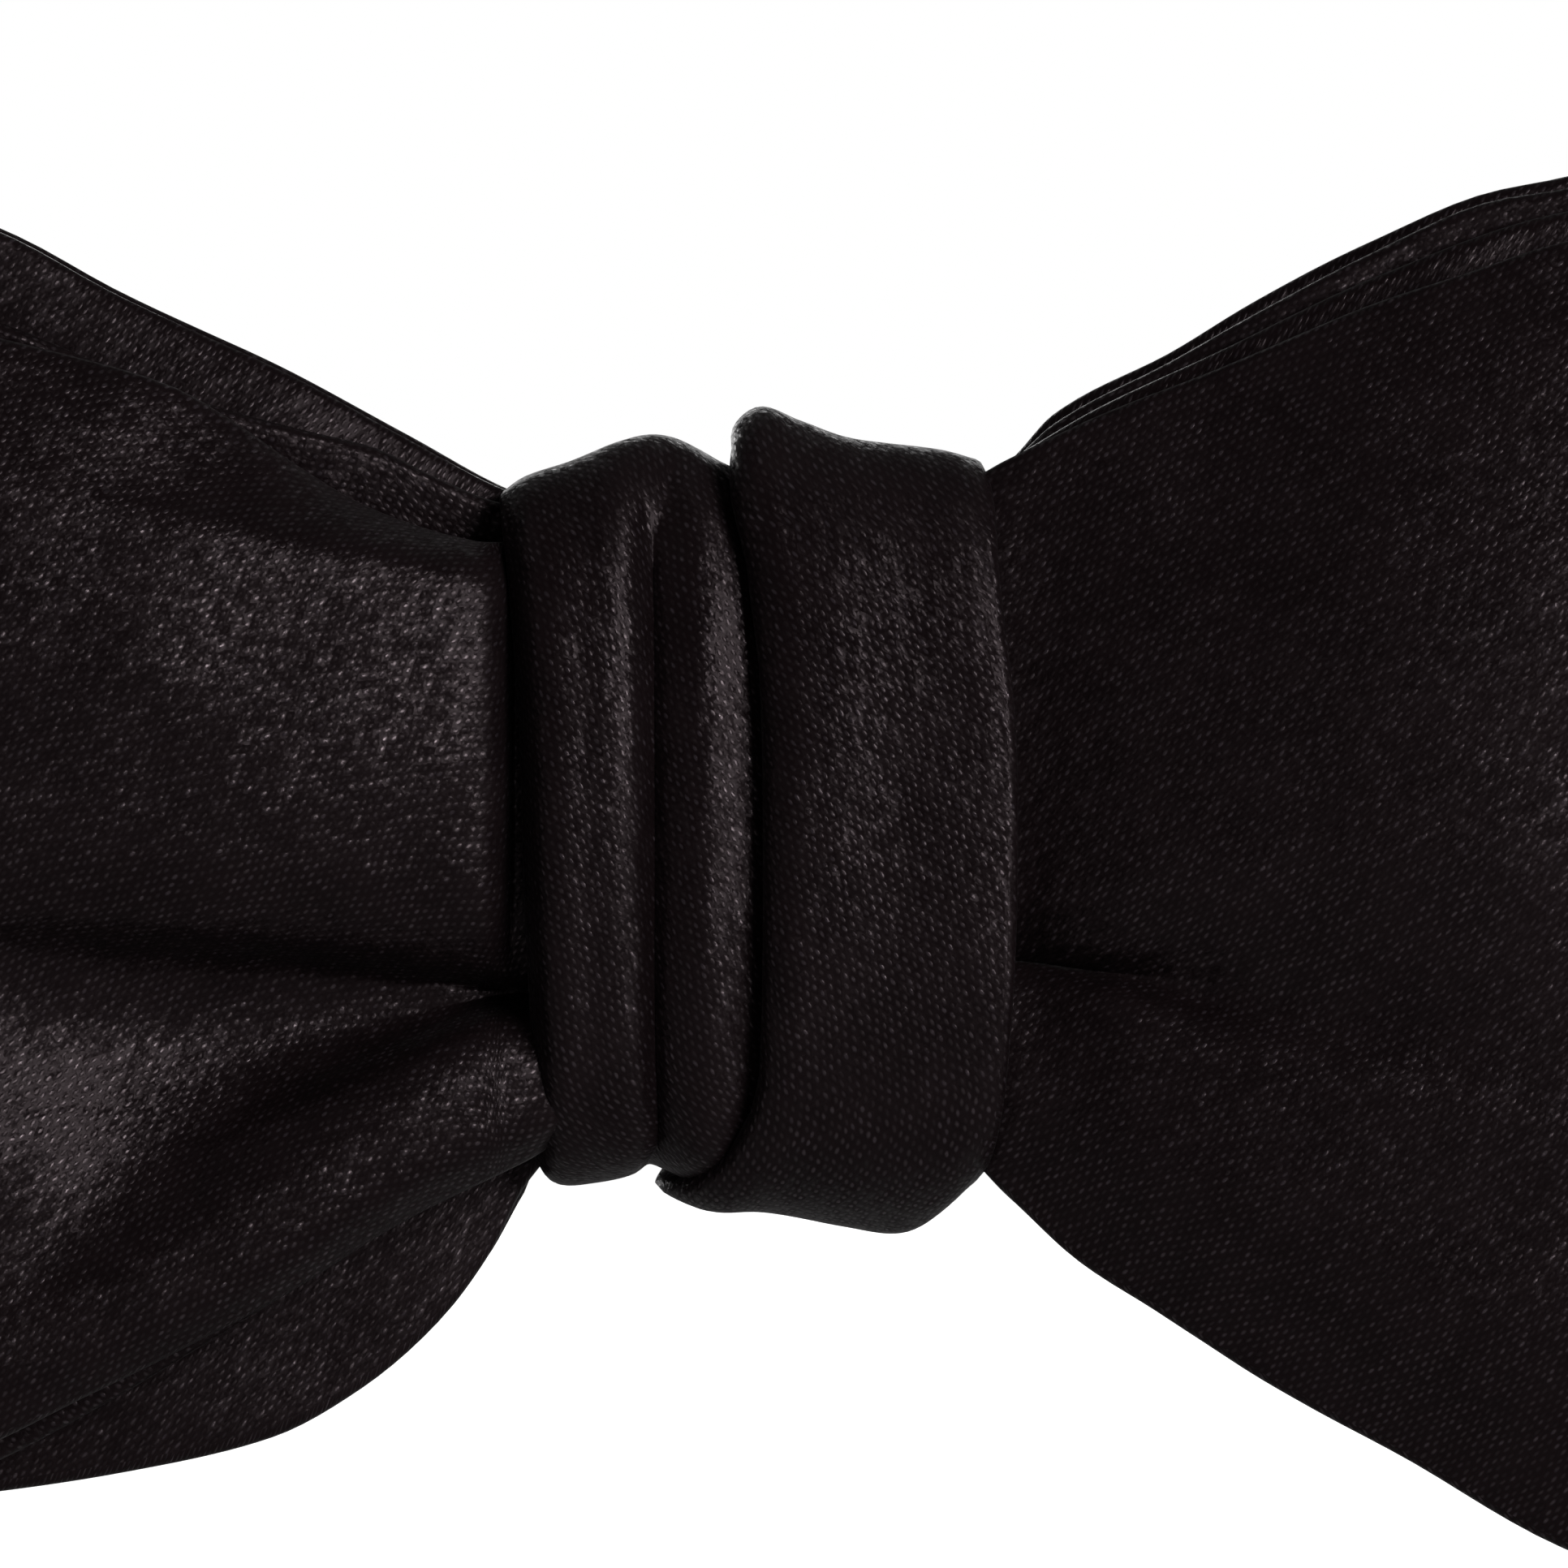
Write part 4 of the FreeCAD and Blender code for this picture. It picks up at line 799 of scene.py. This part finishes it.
SECTION_ANGLES = [-200, -150, -118, -94, -80, -62, -35, 0, 35, 62, 80, 94, 118, 150, 205]
BACK_SECTION = [
    (-8.3, -0.1), (-7.6, 0.05), (-6.0, 0.05), (-4.6, 0.05), (-3.8, -0.2), (-3.0, 0.0), (-2.2, 0.1),
    (-1.2, -0.1), (0.0, -0.3), (1.6, -0.35), (2.3, -0.1), (1.6, 0.25), (0.6, 0.3), (-0.1, 0.6),
    (0.5, 0.95), (2.0, 0.95), (4.5, 0.85), (7.0, 0.7), (8.3, 0.4),
]
SECTIONS = {
    -118: [
        (-8.1, -0.3), (-7.5, 0.1), (-6.0, 0.1), (-4.8, 0.0), (-4.2, -0.3), (-3.4, -0.3), (-2.4, -0.2),
        (-1.2, -0.3), (0.2, -0.6), (2.0, -0.75), (2.7, -0.35), (1.8, 0.1), (-0.6, 0.2), (-2.7, 0.5),
        (-1.6, 1.0), (0.6, 1.2), (3.6, 1.6), (5.8, 1.3), (7.0, 0.2),
    ],
    -94: [
        (-8.1, -0.6), (-7.5, 0.1), (-6.2, 0.1), (-4.9, -0.2), (-4.3, -0.6), (-3.5, -0.6), (-2.5, -0.4),
        (-1.4, -0.6), (0.2, -0.8), (2.0, -0.9), (2.7, -0.5), (1.6, -0.05), (-1.0, 0.1), (-3.6, 0.3),
        (-2.4, 0.9), (-0.2, 1.2), (3.2, 1.8), (5.6, 1.9), (7.2, 0.6),
    ],
    -80: [
        (-8.2, -0.9), (-7.6, 0.1), (-6.2, 0.1), (-4.9, -0.1), (-4.2, -0.6), (-3.4, -0.3), (-2.4, 0.1),
        (-1.3, -0.2), (0.2, -0.8), (2.0, -0.9), (2.7, -0.45), (1.6, 0.0), (-0.6, 0.15), (-2.6, 0.6),
        (-1.6, 1.2), (0.4, 1.25), (3.8, 1.5), (6.6, 1.3), (7.7, 0.4),
    ],
    -62: [
        (-8.2, -1.1), (-7.5, 0.05), (-6.2, 0.2), (-4.7, 0.1), (-3.75, -0.65), (-3.1, -0.15), (-2.1, 0.3),
        (-1.1, 0.0), (0.3, -0.7), (2.0, -0.85), (2.9, -0.45), (1.8, 0.0), (0.4, 0.1), (-0.8, 0.55),
        (0.0, 1.05), (1.6, 1.15), (4.4, 1.2), (7.4, 1.0), (8.4, 0.5),
    ],
    -35: [
        (-8.2, -1.15), (-7.5, 0.35), (-6.2, 0.32), (-4.8, 0.1), (-3.9, -0.9), (-3.15, -0.4), (-1.9, 0.0),
        (-0.8, -0.3), (0.5, -0.8), (2.0, -0.9), (2.9, -0.5), (2.1, -0.05), (1.2, 0.1), (0.4, 0.5),
        (1.0, 1.05), (2.4, 1.1), (5.2, 0.95), (8.0, 0.85), (8.95, 0.75),
    ],
    0: [
        (-8.5, -1.0), (-7.8, 0.45), (-6.3, 0.38), (-4.9, 0.15), (-3.95, -0.9), (-3.2, -0.4), (-2.0, 0.0),
        (-0.8, -0.3), (0.6, -0.85), (2.2, -0.95), (3.0, -0.55), (2.2, -0.05), (1.3, 0.05), (0.5, 0.45),
        (1.1, 1.0), (2.4, 1.1), (5.4, 0.95), (8.4, 0.85), (9.3, 0.75),
    ],
    35: [
        (-9.0, -0.7), (-8.3, 0.3), (-6.6, 0.42), (-5.0, 0.25), (-4.0, -0.75), (-3.35, -0.35), (-2.2, 0.0),
        (-1.1, -0.2), (0.4, -0.8), (2.2, -0.9), (2.9, -0.5), (2.0, -0.05), (0.9, 0.05), (-0.05, 0.5),
        (0.6, 1.05), (2.0, 1.15), (5.0, 0.95), (7.8, 0.8), (8.65, 0.6),
    ],
    62: [
        (-9.35, -0.7), (-8.6, -0.1), (-6.8, 0.3), (-5.2, 0.6), (-4.2, 0.3), (-3.5, 0.0), (-2.5, 0.15),
        (-1.4, -0.2), (0.0, -0.8), (1.8, -0.9), (2.5, -0.5), (1.6, 0.0), (0.2, 0.2), (-0.75, 0.8),
        (-0.1, 1.45), (1.4, 1.3), (4.2, 0.95), (7.6, 0.65), (8.4, 0.25),
    ],
    80: [
        (-9.4, -1.1), (-8.7, -0.6), (-7.0, 0.0), (-5.2, 0.7), (-4.2, 0.85), (-3.4, 0.7), (-2.5, 0.4),
        (-1.5, -0.1), (0.0, -0.7), (1.8, -0.8), (2.5, -0.4), (1.6, 0.15), (0.2, 0.5), (-0.7, 1.2),
        (0.0, 1.95), (1.4, 1.5), (3.4, 0.85), (7.0, 0.55), (8.1, 0.2),
    ],
    94: [
        (-9.3, -1.2), (-8.6, -0.7), (-7.0, -0.2), (-5.2, 0.6), (-4.1, 0.95), (-3.3, 0.85), (-2.4, 0.4),
        (-1.4, -0.2), (0.0, -0.7), (1.8, -0.8), (2.5, -0.4), (1.6, 0.15), (0.2, 0.5), (-0.7, 1.2),
        (0.0, 1.95), (1.4, 1.4), (3.2, 0.75), (6.6, 0.45), (8.0, 0.15),
    ],
    118: [
        (-8.9, -0.8), (-8.3, -0.4), (-6.8, -0.1), (-5.2, 0.3), (-4.2, 0.5), (-3.4, 0.4), (-2.4, 0.2),
        (-1.4, -0.2), (0.0, -0.6), (1.8, -0.7), (2.5, -0.35), (1.6, 0.15), (0.2, 0.4), (-0.6, 0.95),
        (0.0, 1.5), (1.4, 1.3), (3.4, 0.9), (6.6, 0.6), (8.0, 0.25),
    ],
}
KNOT_ROWS, KNOT_COLUMNS = 190, 150
KNOT_TAPER = 4          # rows over which the strip's ends thin out
DENT_DEPTH = 0.30
SEWN_HEIGHT = (stitch_low[2] + stitch_high[2]) / 2
INNER_START = -188.0
OUTER_END = 180 + math.degrees(math.asin((-SEWN_HEIGHT / OVAL_TOP) ** (OVAL_POWER / 2)))
OUTER_LIFT = 1.15


def oval(angle):
    """Point (depth, height) of the knot's oval and its outward direction at an angle from the front, up."""
    def point(a):
        c, s = math.cos(a), math.sin(a)
        half_depth = (OVAL_FRONT - OVAL_BACK) / 2
        y = -(OVAL_FRONT + OVAL_BACK) / 2 - half_depth * math.copysign(abs(c) ** (2 / OVAL_POWER), c)
        z = OVAL_TOP * math.copysign(abs(s) ** (2 / OVAL_POWER), s)
        return np.array([y, z])
    a = math.radians(angle)
    run = point(a + OVAL_STEP) - point(a - OVAL_STEP)
    out = np.array([-run[1], run[0]])
    return point(a), out / np.linalg.norm(out)


def knot_angles():
    """Angles of the rows, at even distances round the oval."""
    fine = np.linspace(INNER_START, OUTER_END, 2400)
    points = np.array([oval(a)[0] for a in fine])
    run = along(points)
    return np.interp(np.linspace(0, run[-1], KNOT_ROWS), run, fine)


def knot_surface():
    """Middle surface of the knot's strip: from its inner end behind, round the front, to its outer end."""
    stations = [SECTIONS.get(a, BACK_SECTION) for a in SECTION_ANGLES]
    angles = knot_angles()
    controls = pchip(SECTION_ANGLES, stations, angles)
    grid = np.zeros((KNOT_ROWS, KNOT_COLUMNS, 3))
    for i, a in enumerate(angles):
        (y, z), (out_y, out_z) = oval(a)
        lift = OUTER_LIFT * float(smooth(112, 152, a))
        section = spline(controls[i], KNOT_COLUMNS)
        calm = float(smooth(150, 110, abs(a)))
        dents = [noise.noise(Vector((x * 0.17 + 3.0, z * 0.13, y * 0.1 + 2.0))) for x in section[:, 0]]
        height = section[:, 1] + lift + DENT_DEPTH * calm * np.array(dents)
        grid[i, :, 0] = section[:, 0]
        grid[i, :, 1] = y + out_y * height
        grid[i, :, 2] = z + out_z * height
    return grid


knot_grid = knot_surface()
knot = strip_piece("knot_cloth", knot_grid[:, ::-1], KNOT_HALF, SATIN_KNOT, end_taper=KNOT_TAPER)
declare(knot, "knot_wrap", "bow")

LINING_DEPTH, LINING_RISE = 1.5, 0.55       # how deep the lining lies in the oval, and its rise at the ends
KNOT_LINING_HALF = 0.15


def knot_lining_surface():
    """The knot's interlining: a plain sheet that follows the oval inside the pleated strip."""
    angles = np.linspace(-171, 171, 130)
    across = np.linspace(-7.4, 6.4, 18)
    grid = np.zeros((len(angles), len(across), 3))
    for i, a in enumerate(angles):
        (y, z), (out_y, out_z) = oval(a)
        depth = LINING_DEPTH - LINING_RISE * float(smooth(130, 165, abs(a)))
        grid[i, :, 0] = across
        grid[i, :, 1] = y - out_y * depth
        grid[i, :, 2] = z - out_z * depth
    return grid


knot_lining_grid = knot_lining_surface()
knot_lining = interlining("knot_canvas", knot_lining_grid[:, ::-1], 1, False, half=KNOT_LINING_HALF)
declare(knot_lining, "knot_interlining", "bow")


# ---------------------------------------------------------------- threads

STITCH_RADIUS, WINDING_RADIUS = 0.16, 0.17
WINDING_TURNS, WINDING_STEPS = 5, 64
FLAP_STITCHES = 7
TACK_COUNT, TACK_GAP, TACK_LEAN, TACK_RISE = 8, 0.5, 0.1, 0.12
TACK_HALF_WIDTH = 1.2


def gathering_lines():
    """The thread that gathers the bows, wound round both of them under the knot."""
    low, high = node_box("gathering_thread")
    front, back = -low[1] - 0.3, -high[1] + 0.25
    middle, half_depth, half_height = (front + back) / 2, (front - back) / 2, high[2] - 0.62
    points = []
    count = WINDING_TURNS * WINDING_STEPS
    for n in range(count + 1):
        a = 2 * math.pi * n / WINDING_STEPS
        c, s = math.cos(a), math.sin(a)
        points.append((
            low[0] + 0.3 + (high[0] - low[0] - 0.6) * n / count,
            -(middle + half_depth * math.copysign(abs(c) ** 0.5, c)),
            half_height * math.copysign(abs(s) ** 0.5, s),
        ))
    return [np.array(points)]


def stitch(start, end, out, rise):
    """One stitch: a thread that comes out of the cloth, lies on it and goes back in."""
    start, end, out = (np.asarray(v, float) for v in (start, end, out))
    points = []
    for t in np.linspace(0, 1, 9):
        arch = rise * (1 - abs(2 * t - 1) ** 4) - 0.22 * abs(2 * t - 1) ** 6
        points.append(start * (1 - t) + end * t + out * arch)
    return np.array(points)


def flap_stitches():
    """Slanted stitches that sew the knot strip's outer end down on the layer under it."""
    last, before = knot_grid[-1], knot_grid[-9]
    lines = []
    for x in np.linspace(stitch_low[0] + 0.6, stitch_high[0] - 0.6, FLAP_STITCHES):
        outer = before[np.argmin(np.abs(before[:, 0] - x) - 0.02 * before[:, 1])]
        edge = last[np.argmin(np.abs(last[:, 0] - x - 0.5) - 0.02 * last[:, 1])]
        on_flap = np.array([x, outer[1] + KNOT_HALF, outer[2] - 0.6])
        under = np.array([x + 0.55, edge[1] - 0.75, edge[2] - 0.75])
        bend = np.array([x + 0.4, edge[1] + KNOT_HALF * 0.8, edge[2] - 0.25])
        points = spline([on_flap + (0, -0.3, 0), on_flap + (0, 0.12, -0.1), bend + (0, 0.1, 0), under], 11)
        lines.append(points)
    return lines


def tack_lines(name, half_width):
    """Two upright rows of stitches that hold a folded end of the band, on its neck side."""
    low, high = node_box(name)
    centre = (low + high) / 2
    angle = ring_angle(centre)
    radius = math.hypot(centre[0], RING[1] - centre[1])
    out = beside(angle, 0, radius - 1) - beside(angle, 0, radius)
    pitch = (high[2] - low[2] + TACK_GAP) / TACK_COUNT
    lines = []
    for side in (-half_width, half_width):
        foot, head = beside(angle, side - TACK_LEAN, radius), beside(angle, side + TACK_LEAN, radius)
        for z in low[2] + pitch * np.arange(TACK_COUNT):
            lines.append(stitch((*foot, z), (*head, z + pitch - TACK_GAP), (*out, 0), TACK_RISE))
    return lines


def tacks(body, node):
    """The stitches of one folded end."""
    piece = threads(node + "_stitches", tack_lines(node, TACK_HALF_WIDTH), STITCH_RADIUS, THREAD)
    declare(piece, node, body)


windings = threads("gathering_windings", gathering_lines(), WINDING_RADIUS, THREAD)
declare(windings, "gathering_thread", "bow")
hand_stitches = threads("knot_hand_stitches", flap_stitches(), STITCH_RADIUS, THREAD)
declare(hand_stitches, "knot_stitches", "bow")
tacks("bow", "eye_tack")
tacks("slide", "slide_tack")


# ---------------------------------------------------------------- neckband

NECK, FOLDED = 62.0, 60.8                   # ring axis to the middle of the band, and of its folded ends
BAR_RING, BAR_LOOP = 60.4, 1.6              # ring axis to a bar, and bar to the middle of the cloth round it
SLIDE_RADIUS, CREST, CREST_HALF = 63.4, 66.4, 3.3
CLIMB, CLIMB_FOOT = 5.0, 1.8
WRAP, TAIL, TAIL_ANGLE = 1.85, 59.6, 11.5
RETURN_ANGLE, RETURN_BEND = 9.0, 5.0
TAIL_LENGTH = 14.0
BAND_HALF_HEIGHT, BAND_HALF = 10.0, 0.5
BAND_ROOM, STRAP_ROOM = 0.28, 0.1           # half thickness of the room inside
BAND_STEP, BAND_COLUMNS, BAND_CROWDING = 0.55, 26, 0.55
LINING_STEP, LINING_COLUMNS, LINING_HALF_HEIGHT = 0.8, 14, 9.0


def joint_angle(name):
    """Angle of a joint's axis round the ring."""
    return ring_angle(place(JOINTS[name]["pos_m"]))


HOOK, EYE = joint_angle("hook_swing"), joint_angle("eye_swing")
SLIDE = ring_angle(sum(node_box("adjuster_slide")) / 2)
FEED, LEFT_START, RIGHT_START = 80.0, 359.0, 2.0


def rounded(corners, step):
    """A path through corners (point, radius), each rounded with an arc, resampled at even steps."""
    points = [np.array(corners[0][0], float)]
    for (before, _), (corner, radius), (after, _) in zip(corners, corners[1:], corners[2:]):
        last = points[-1]
        back = (last - corner) / np.linalg.norm(last - corner)
        ahead = (np.asarray(after) - corner) / np.linalg.norm(np.asarray(after) - corner)
        half = math.acos(float(np.clip(back @ ahead, -1, 1))) / 2
        if half > math.pi / 2 - 1e-4 or radius == 0:
            points.append(corner)
            continue
        run = radius / math.tan(half)
        middle = (back + ahead) / np.linalg.norm(back + ahead)
        centre = corner + middle * radius / math.sin(half)
        first, second = corner + back * run - centre, corner + ahead * run - centre
        sweep = math.atan2(first[0] * second[1] - first[1] * second[0], first @ second)
        for t in np.linspace(0, 1, max(5, int(abs(sweep) * radius / 0.3))):
            c, s = math.cos(sweep * t), math.sin(sweep * t)
            points.append(centre + np.array([c * first[0] - s * first[1], s * first[0] + c * first[1]]))
    points.append(np.array(corners[-1][0], float))
    line = np.array(points)
    keep = np.append(True, np.linalg.norm(np.diff(line, axis=0), axis=1) > 1e-6)
    line = line[keep]
    return evenly(line, int(along(line)[-1] / step) + 2)


def ring_run(radius, start, end, longest=50.0):
    """Corners of a run along the ring at one radius."""
    count = math.ceil(abs(end - start) / longest)
    half = (end - start) / count / 2
    corner_radius = radius / math.cos(math.radians(half))
    return [(beside(start + half * (2 * n + 1), 0, corner_radius), radius) for n in range(count)]


def round_bar(angle, way):
    """Corners of the cloth's fold round a bar, and of its return inside the ring."""
    back = BAR_RING - BAR_LOOP
    return [
        (beside(angle, way * BAR_LOOP, NECK), BAR_LOOP),
        (beside(angle, way * BAR_LOOP, back), BAR_LOOP),
        (beside(angle, -way * RETURN_BEND / 2, back), RETURN_BEND),
        (beside(angle - way * RETURN_ANGLE, way * RETURN_BEND / 2, FOLDED), RETURN_BEND),
    ]


def climb(side):
    """Corners of the cloth from the slide's crest down to the ring."""
    return [
        (beside(SLIDE, side * 0.1, CREST), 0),
        (beside(SLIDE, side * CREST_HALF, CREST), CLIMB_FOOT),
        (beside(SLIDE + side * CLIMB, -side * CLIMB_FOOT, NECK), CLIMB_FOOT / 2),
    ]


def around_middle_bar():
    """Corners of the band's end where it is wrapped round the slide's middle bar, and its tail."""
    leaving = math.radians(CLIMB)
    foot = (FOLDED - WRAP * math.sin(leaving)) / math.cos(leaving)
    top = SLIDE_RADIUS + WRAP
    return [
        (beside(SLIDE, WRAP, foot), WRAP / 3),
        (beside(SLIDE, WRAP, top), WRAP),
        (beside(SLIDE, -WRAP, top), WRAP),
        (beside(SLIDE, -WRAP, TAIL), WRAP / 2),
        (beside(SLIDE + CLIMB, 0, TAIL), 4 * WRAP),
        (beside(SLIDE + TAIL_ANGLE, 0, TAIL), 0),
    ]


def band_surface(line, half_height, seed=0.0, columns=BAND_COLUMNS):
    """Middle surface of a band along a path in the ring's middle plane, its edges a little soft."""
    widest = math.pi / 2 * BAND_CROWDING
    heights = np.sin(np.linspace(-1, 1, columns) * widest) / math.sin(widest)
    run = along(line)
    tangent = np.gradient(line, axis=0)
    tangent /= np.linalg.norm(tangent, axis=1, keepdims=True)
    grid = np.zeros((len(line), columns, 3))
    for i, (p, t) in enumerate(zip(line, tangent)):
        wave = 0.10 * noise.noise(Vector((run[i] * 0.12, seed, 0.3)))
        for k, h in enumerate(heights):
            soft = 0.05 * noise.noise(Vector((run[i] * 0.16, h * 1.7 + seed, 4.0)))
            grid[i, k] = (p[0] + t[1] * soft, p[1] - t[0] * soft, h * (half_height + wave))
    return grid


def band_piece(name, corners, node, hollow, body=None):
    """A stretch of the neckband: a flattened tube of satin."""
    line = rounded(corners, BAND_STEP)
    grid = band_surface(line, BAND_HALF_HEIGHT - BAND_HALF, seed=len(line) * 0.37)
    piece = strip_piece(name, grid, BAND_HALF, SATIN_BAND, hollow=hollow)
    declare(piece, node, body)
    return piece


def band_lining(name, corners, node):
    """The interlining inside a stretch of the neckband."""
    grid = band_surface(rounded(corners, LINING_STEP), LINING_HALF_HEIGHT, columns=LINING_COLUMNS)
    piece = interlining(name, grid, 1, False)
    declare(piece, node, "bow")


def ring_path(start, end):
    """Corners of a stretch of the band along the ring."""
    return [(beside(start, 0, NECK), 0)] + ring_run(NECK, start, end) + [(beside(end, 0, NECK), 0)]


TAIL_ARC = math.degrees(TAIL_LENGTH / NECK)
left_path = [(beside(LEFT_START, 0, NECK), 0)] + ring_run(NECK, LEFT_START, EYE) + round_bar(EYE, -1)
left_path += [(beside(EYE + TAIL_ARC, 0, FOLDED), 0)]
left_band = band_piece(
    "neckband_left_cloth", left_path, "neckband_left", BAND_ROOM, "bow")
left_lining_path = ring_path(LEFT_START - 2, EYE + 12)
band_lining("neckband_left_canvas", left_lining_path, "neckband_left_interlining")

right_path = ring_path(RIGHT_START, FEED)
right_band = band_piece(
    "neckband_right_cloth", right_path, "neckband_right", BAND_ROOM, "bow")
right_lining_path = ring_path(RIGHT_START + 2, FEED - 2)
band_lining("neckband_right_canvas", right_lining_path, "neckband_right_interlining")


feed_path = [(beside(FEED, 0, NECK), 0)] + ring_run(NECK, FEED, SLIDE - CLIMB) + climb(-1)[::-1]
feed = band_piece("strap_feed_cloth", feed_path, "strap_feed", STRAP_ROOM)
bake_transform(feed)

loop_path = climb(1) + ring_run(NECK, SLIDE + CLIMB, HOOK) + round_bar(HOOK, 1)
loop_path += ring_run(FOLDED, HOOK - RETURN_ANGLE, SLIDE + CLIMB) + around_middle_bar()
loop = band_piece("strap_loop_cloth", loop_path, "strap_loop", STRAP_ROOM)
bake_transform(loop)

for name in ("adjuster_slide", "hook", "eye"):
    metal = NODES[name]
    metal.data.materials.clear()
    metal.data.materials.append(METAL)


# ---------------------------------------------------------------- studio

FLOOR_REACH, FLOOR_GAP = 6.0, 0.004
FLOOR_CENTRE = (0, 0.05)
WHITE = (1, 1, 1, 1)


def floor():
    """A wide pale floor under the bow tie. The camera sees it glow weaker near the object, a painted soft
    shadow on top of the lamps' real one, and fade to white away from the object.
    """
    low = cad_box[0][2] - FLOOR_GAP
    mesh = bpy.data.meshes.new("floor")
    corners = [(x * FLOOR_REACH, y * FLOOR_REACH, low) for x, y in ((-1, -1), (1, -1), (1, 1), (-1, 1))]
    mesh.from_pydata(corners, [], [(0, 1, 2, 3)])
    piece = bpy.data.objects.new("floor", mesh)
    bpy.context.scene.collection.objects.link(piece)
    n = Nodes(bpy.data.materials.new("pale_floor"))
    where = n.add("ShaderNodeTexCoord").outputs["Object"]
    away = n.vector("DISTANCE", where, (*FLOOR_CENTRE, low), output=1)
    # painted shadow: the camera's glow is weaker near the object, a soft grey patch under it
    fade = n.ramp(away, 0.06, 0.14, 0.66, 1.0, "LINEAR")
    glow = n.maths("MULTIPLY", n.add("ShaderNodeLightPath").outputs["Is Camera Ray"], fade)
    n.set(Base_Color=(0.55, 0.55, 0.55, 1), Roughness=0.9)
    n.set(Emission_Color=WHITE, Emission_Strength=n.maths("MAXIMUM", glow, 0.05))
    mesh.materials.append(n.owner)


def surround():
    """A white surround that lights the object only faintly, and more from behind it."""
    world = bpy.data.worlds.new("studio")
    bpy.context.scene.world = world
    n = Nodes(world, "Background")
    split = n.add("ShaderNodeSeparateXYZ")
    n.link(n.add("ShaderNodeTexCoord").outputs["Generated"], split.inputs[0])
    room = n.ramp(split.outputs["Y"], -0.1, 0.7, 0.012, 0.12, "LINEAR")
    camera_ray = n.add("ShaderNodeLightPath").outputs["Is Camera Ray"]
    n.set(Color=WHITE, Strength=n.maths("MAXIMUM", camera_ray, room))


def soft_light(name, azimuth, elevation, distance, width, height, power, target):
    """A soft rectangular studio light. Azimuth 0 is the camera's side, + to its right."""
    data = bpy.data.lights.new(name, "AREA")
    data.shape = "RECTANGLE"
    data.size, data.size_y = width, height
    data.energy = power
    lamp = bpy.data.objects.new(name, data)
    bpy.context.scene.collection.objects.link(lamp)
    a, e = math.radians(azimuth), math.radians(elevation)
    out = Vector((math.sin(a) * math.cos(e), -math.cos(a) * math.cos(e), math.sin(e)))
    lamp.location = Vector(target) + out * distance
    lamp.rotation_mode = "QUATERNION"
    lamp.rotation_quaternion = (-out).to_track_quat("-Z", "Y")


FRAME_WIDTH, CAMERA_DISTANCE = 0.0585, 0.62
FRAME_MIDDLE = Vector((0.00094, -0.014, 0.00136))


def camera():
    """The camera looks level along +Y, close in on the knot through a long lens."""
    data = bpy.data.cameras.new("camera")
    data.sensor_width = 36.0
    data.lens = data.sensor_width * CAMERA_DISTANCE / FRAME_WIDTH
    data.clip_start, data.clip_end = 0.01, 20
    view = bpy.data.objects.new("camera", data)
    bpy.context.scene.collection.objects.link(view)
    view.location = FRAME_MIDDLE - Vector((0, CAMERA_DISTANCE, 0))
    view.rotation_euler = (math.pi / 2, 0, 0)
    bpy.context.scene.camera = view


KNOT_FRONT, BAND_MIDDLE = (0, -0.012, 0.002), (0, 0.04, 0)
# name, azimuth, elevation, distance, width, height, power, what it is aimed at
LIGHTS = [
    ("key", 37, 17, 0.60, 0.24, 0.26, 2.05, KNOT_FRONT),
    ("fill", -62, 38, 0.7, 0.4, 0.4, 0.12, KNOT_FRONT),
    ("top", 0, 86, 0.6, 0.3, 0.3, 0.06, KNOT_FRONT),
    ("rear_right", 125, 10, 0.7, 0.4, 0.3, 1.5, BAND_MIDDLE),
    ("rear_left", -140, 7, 0.7, 0.5, 0.3, 1.8, BAND_MIDDLE),
    ("rear", 178, 14, 0.8, 0.5, 0.3, 0.8, BAND_MIDDLE),
]

floor()
surround()
for light in LIGHTS:
    soft_light(*light)
camera()
bpy.context.scene.view_settings.view_transform = "Standard"
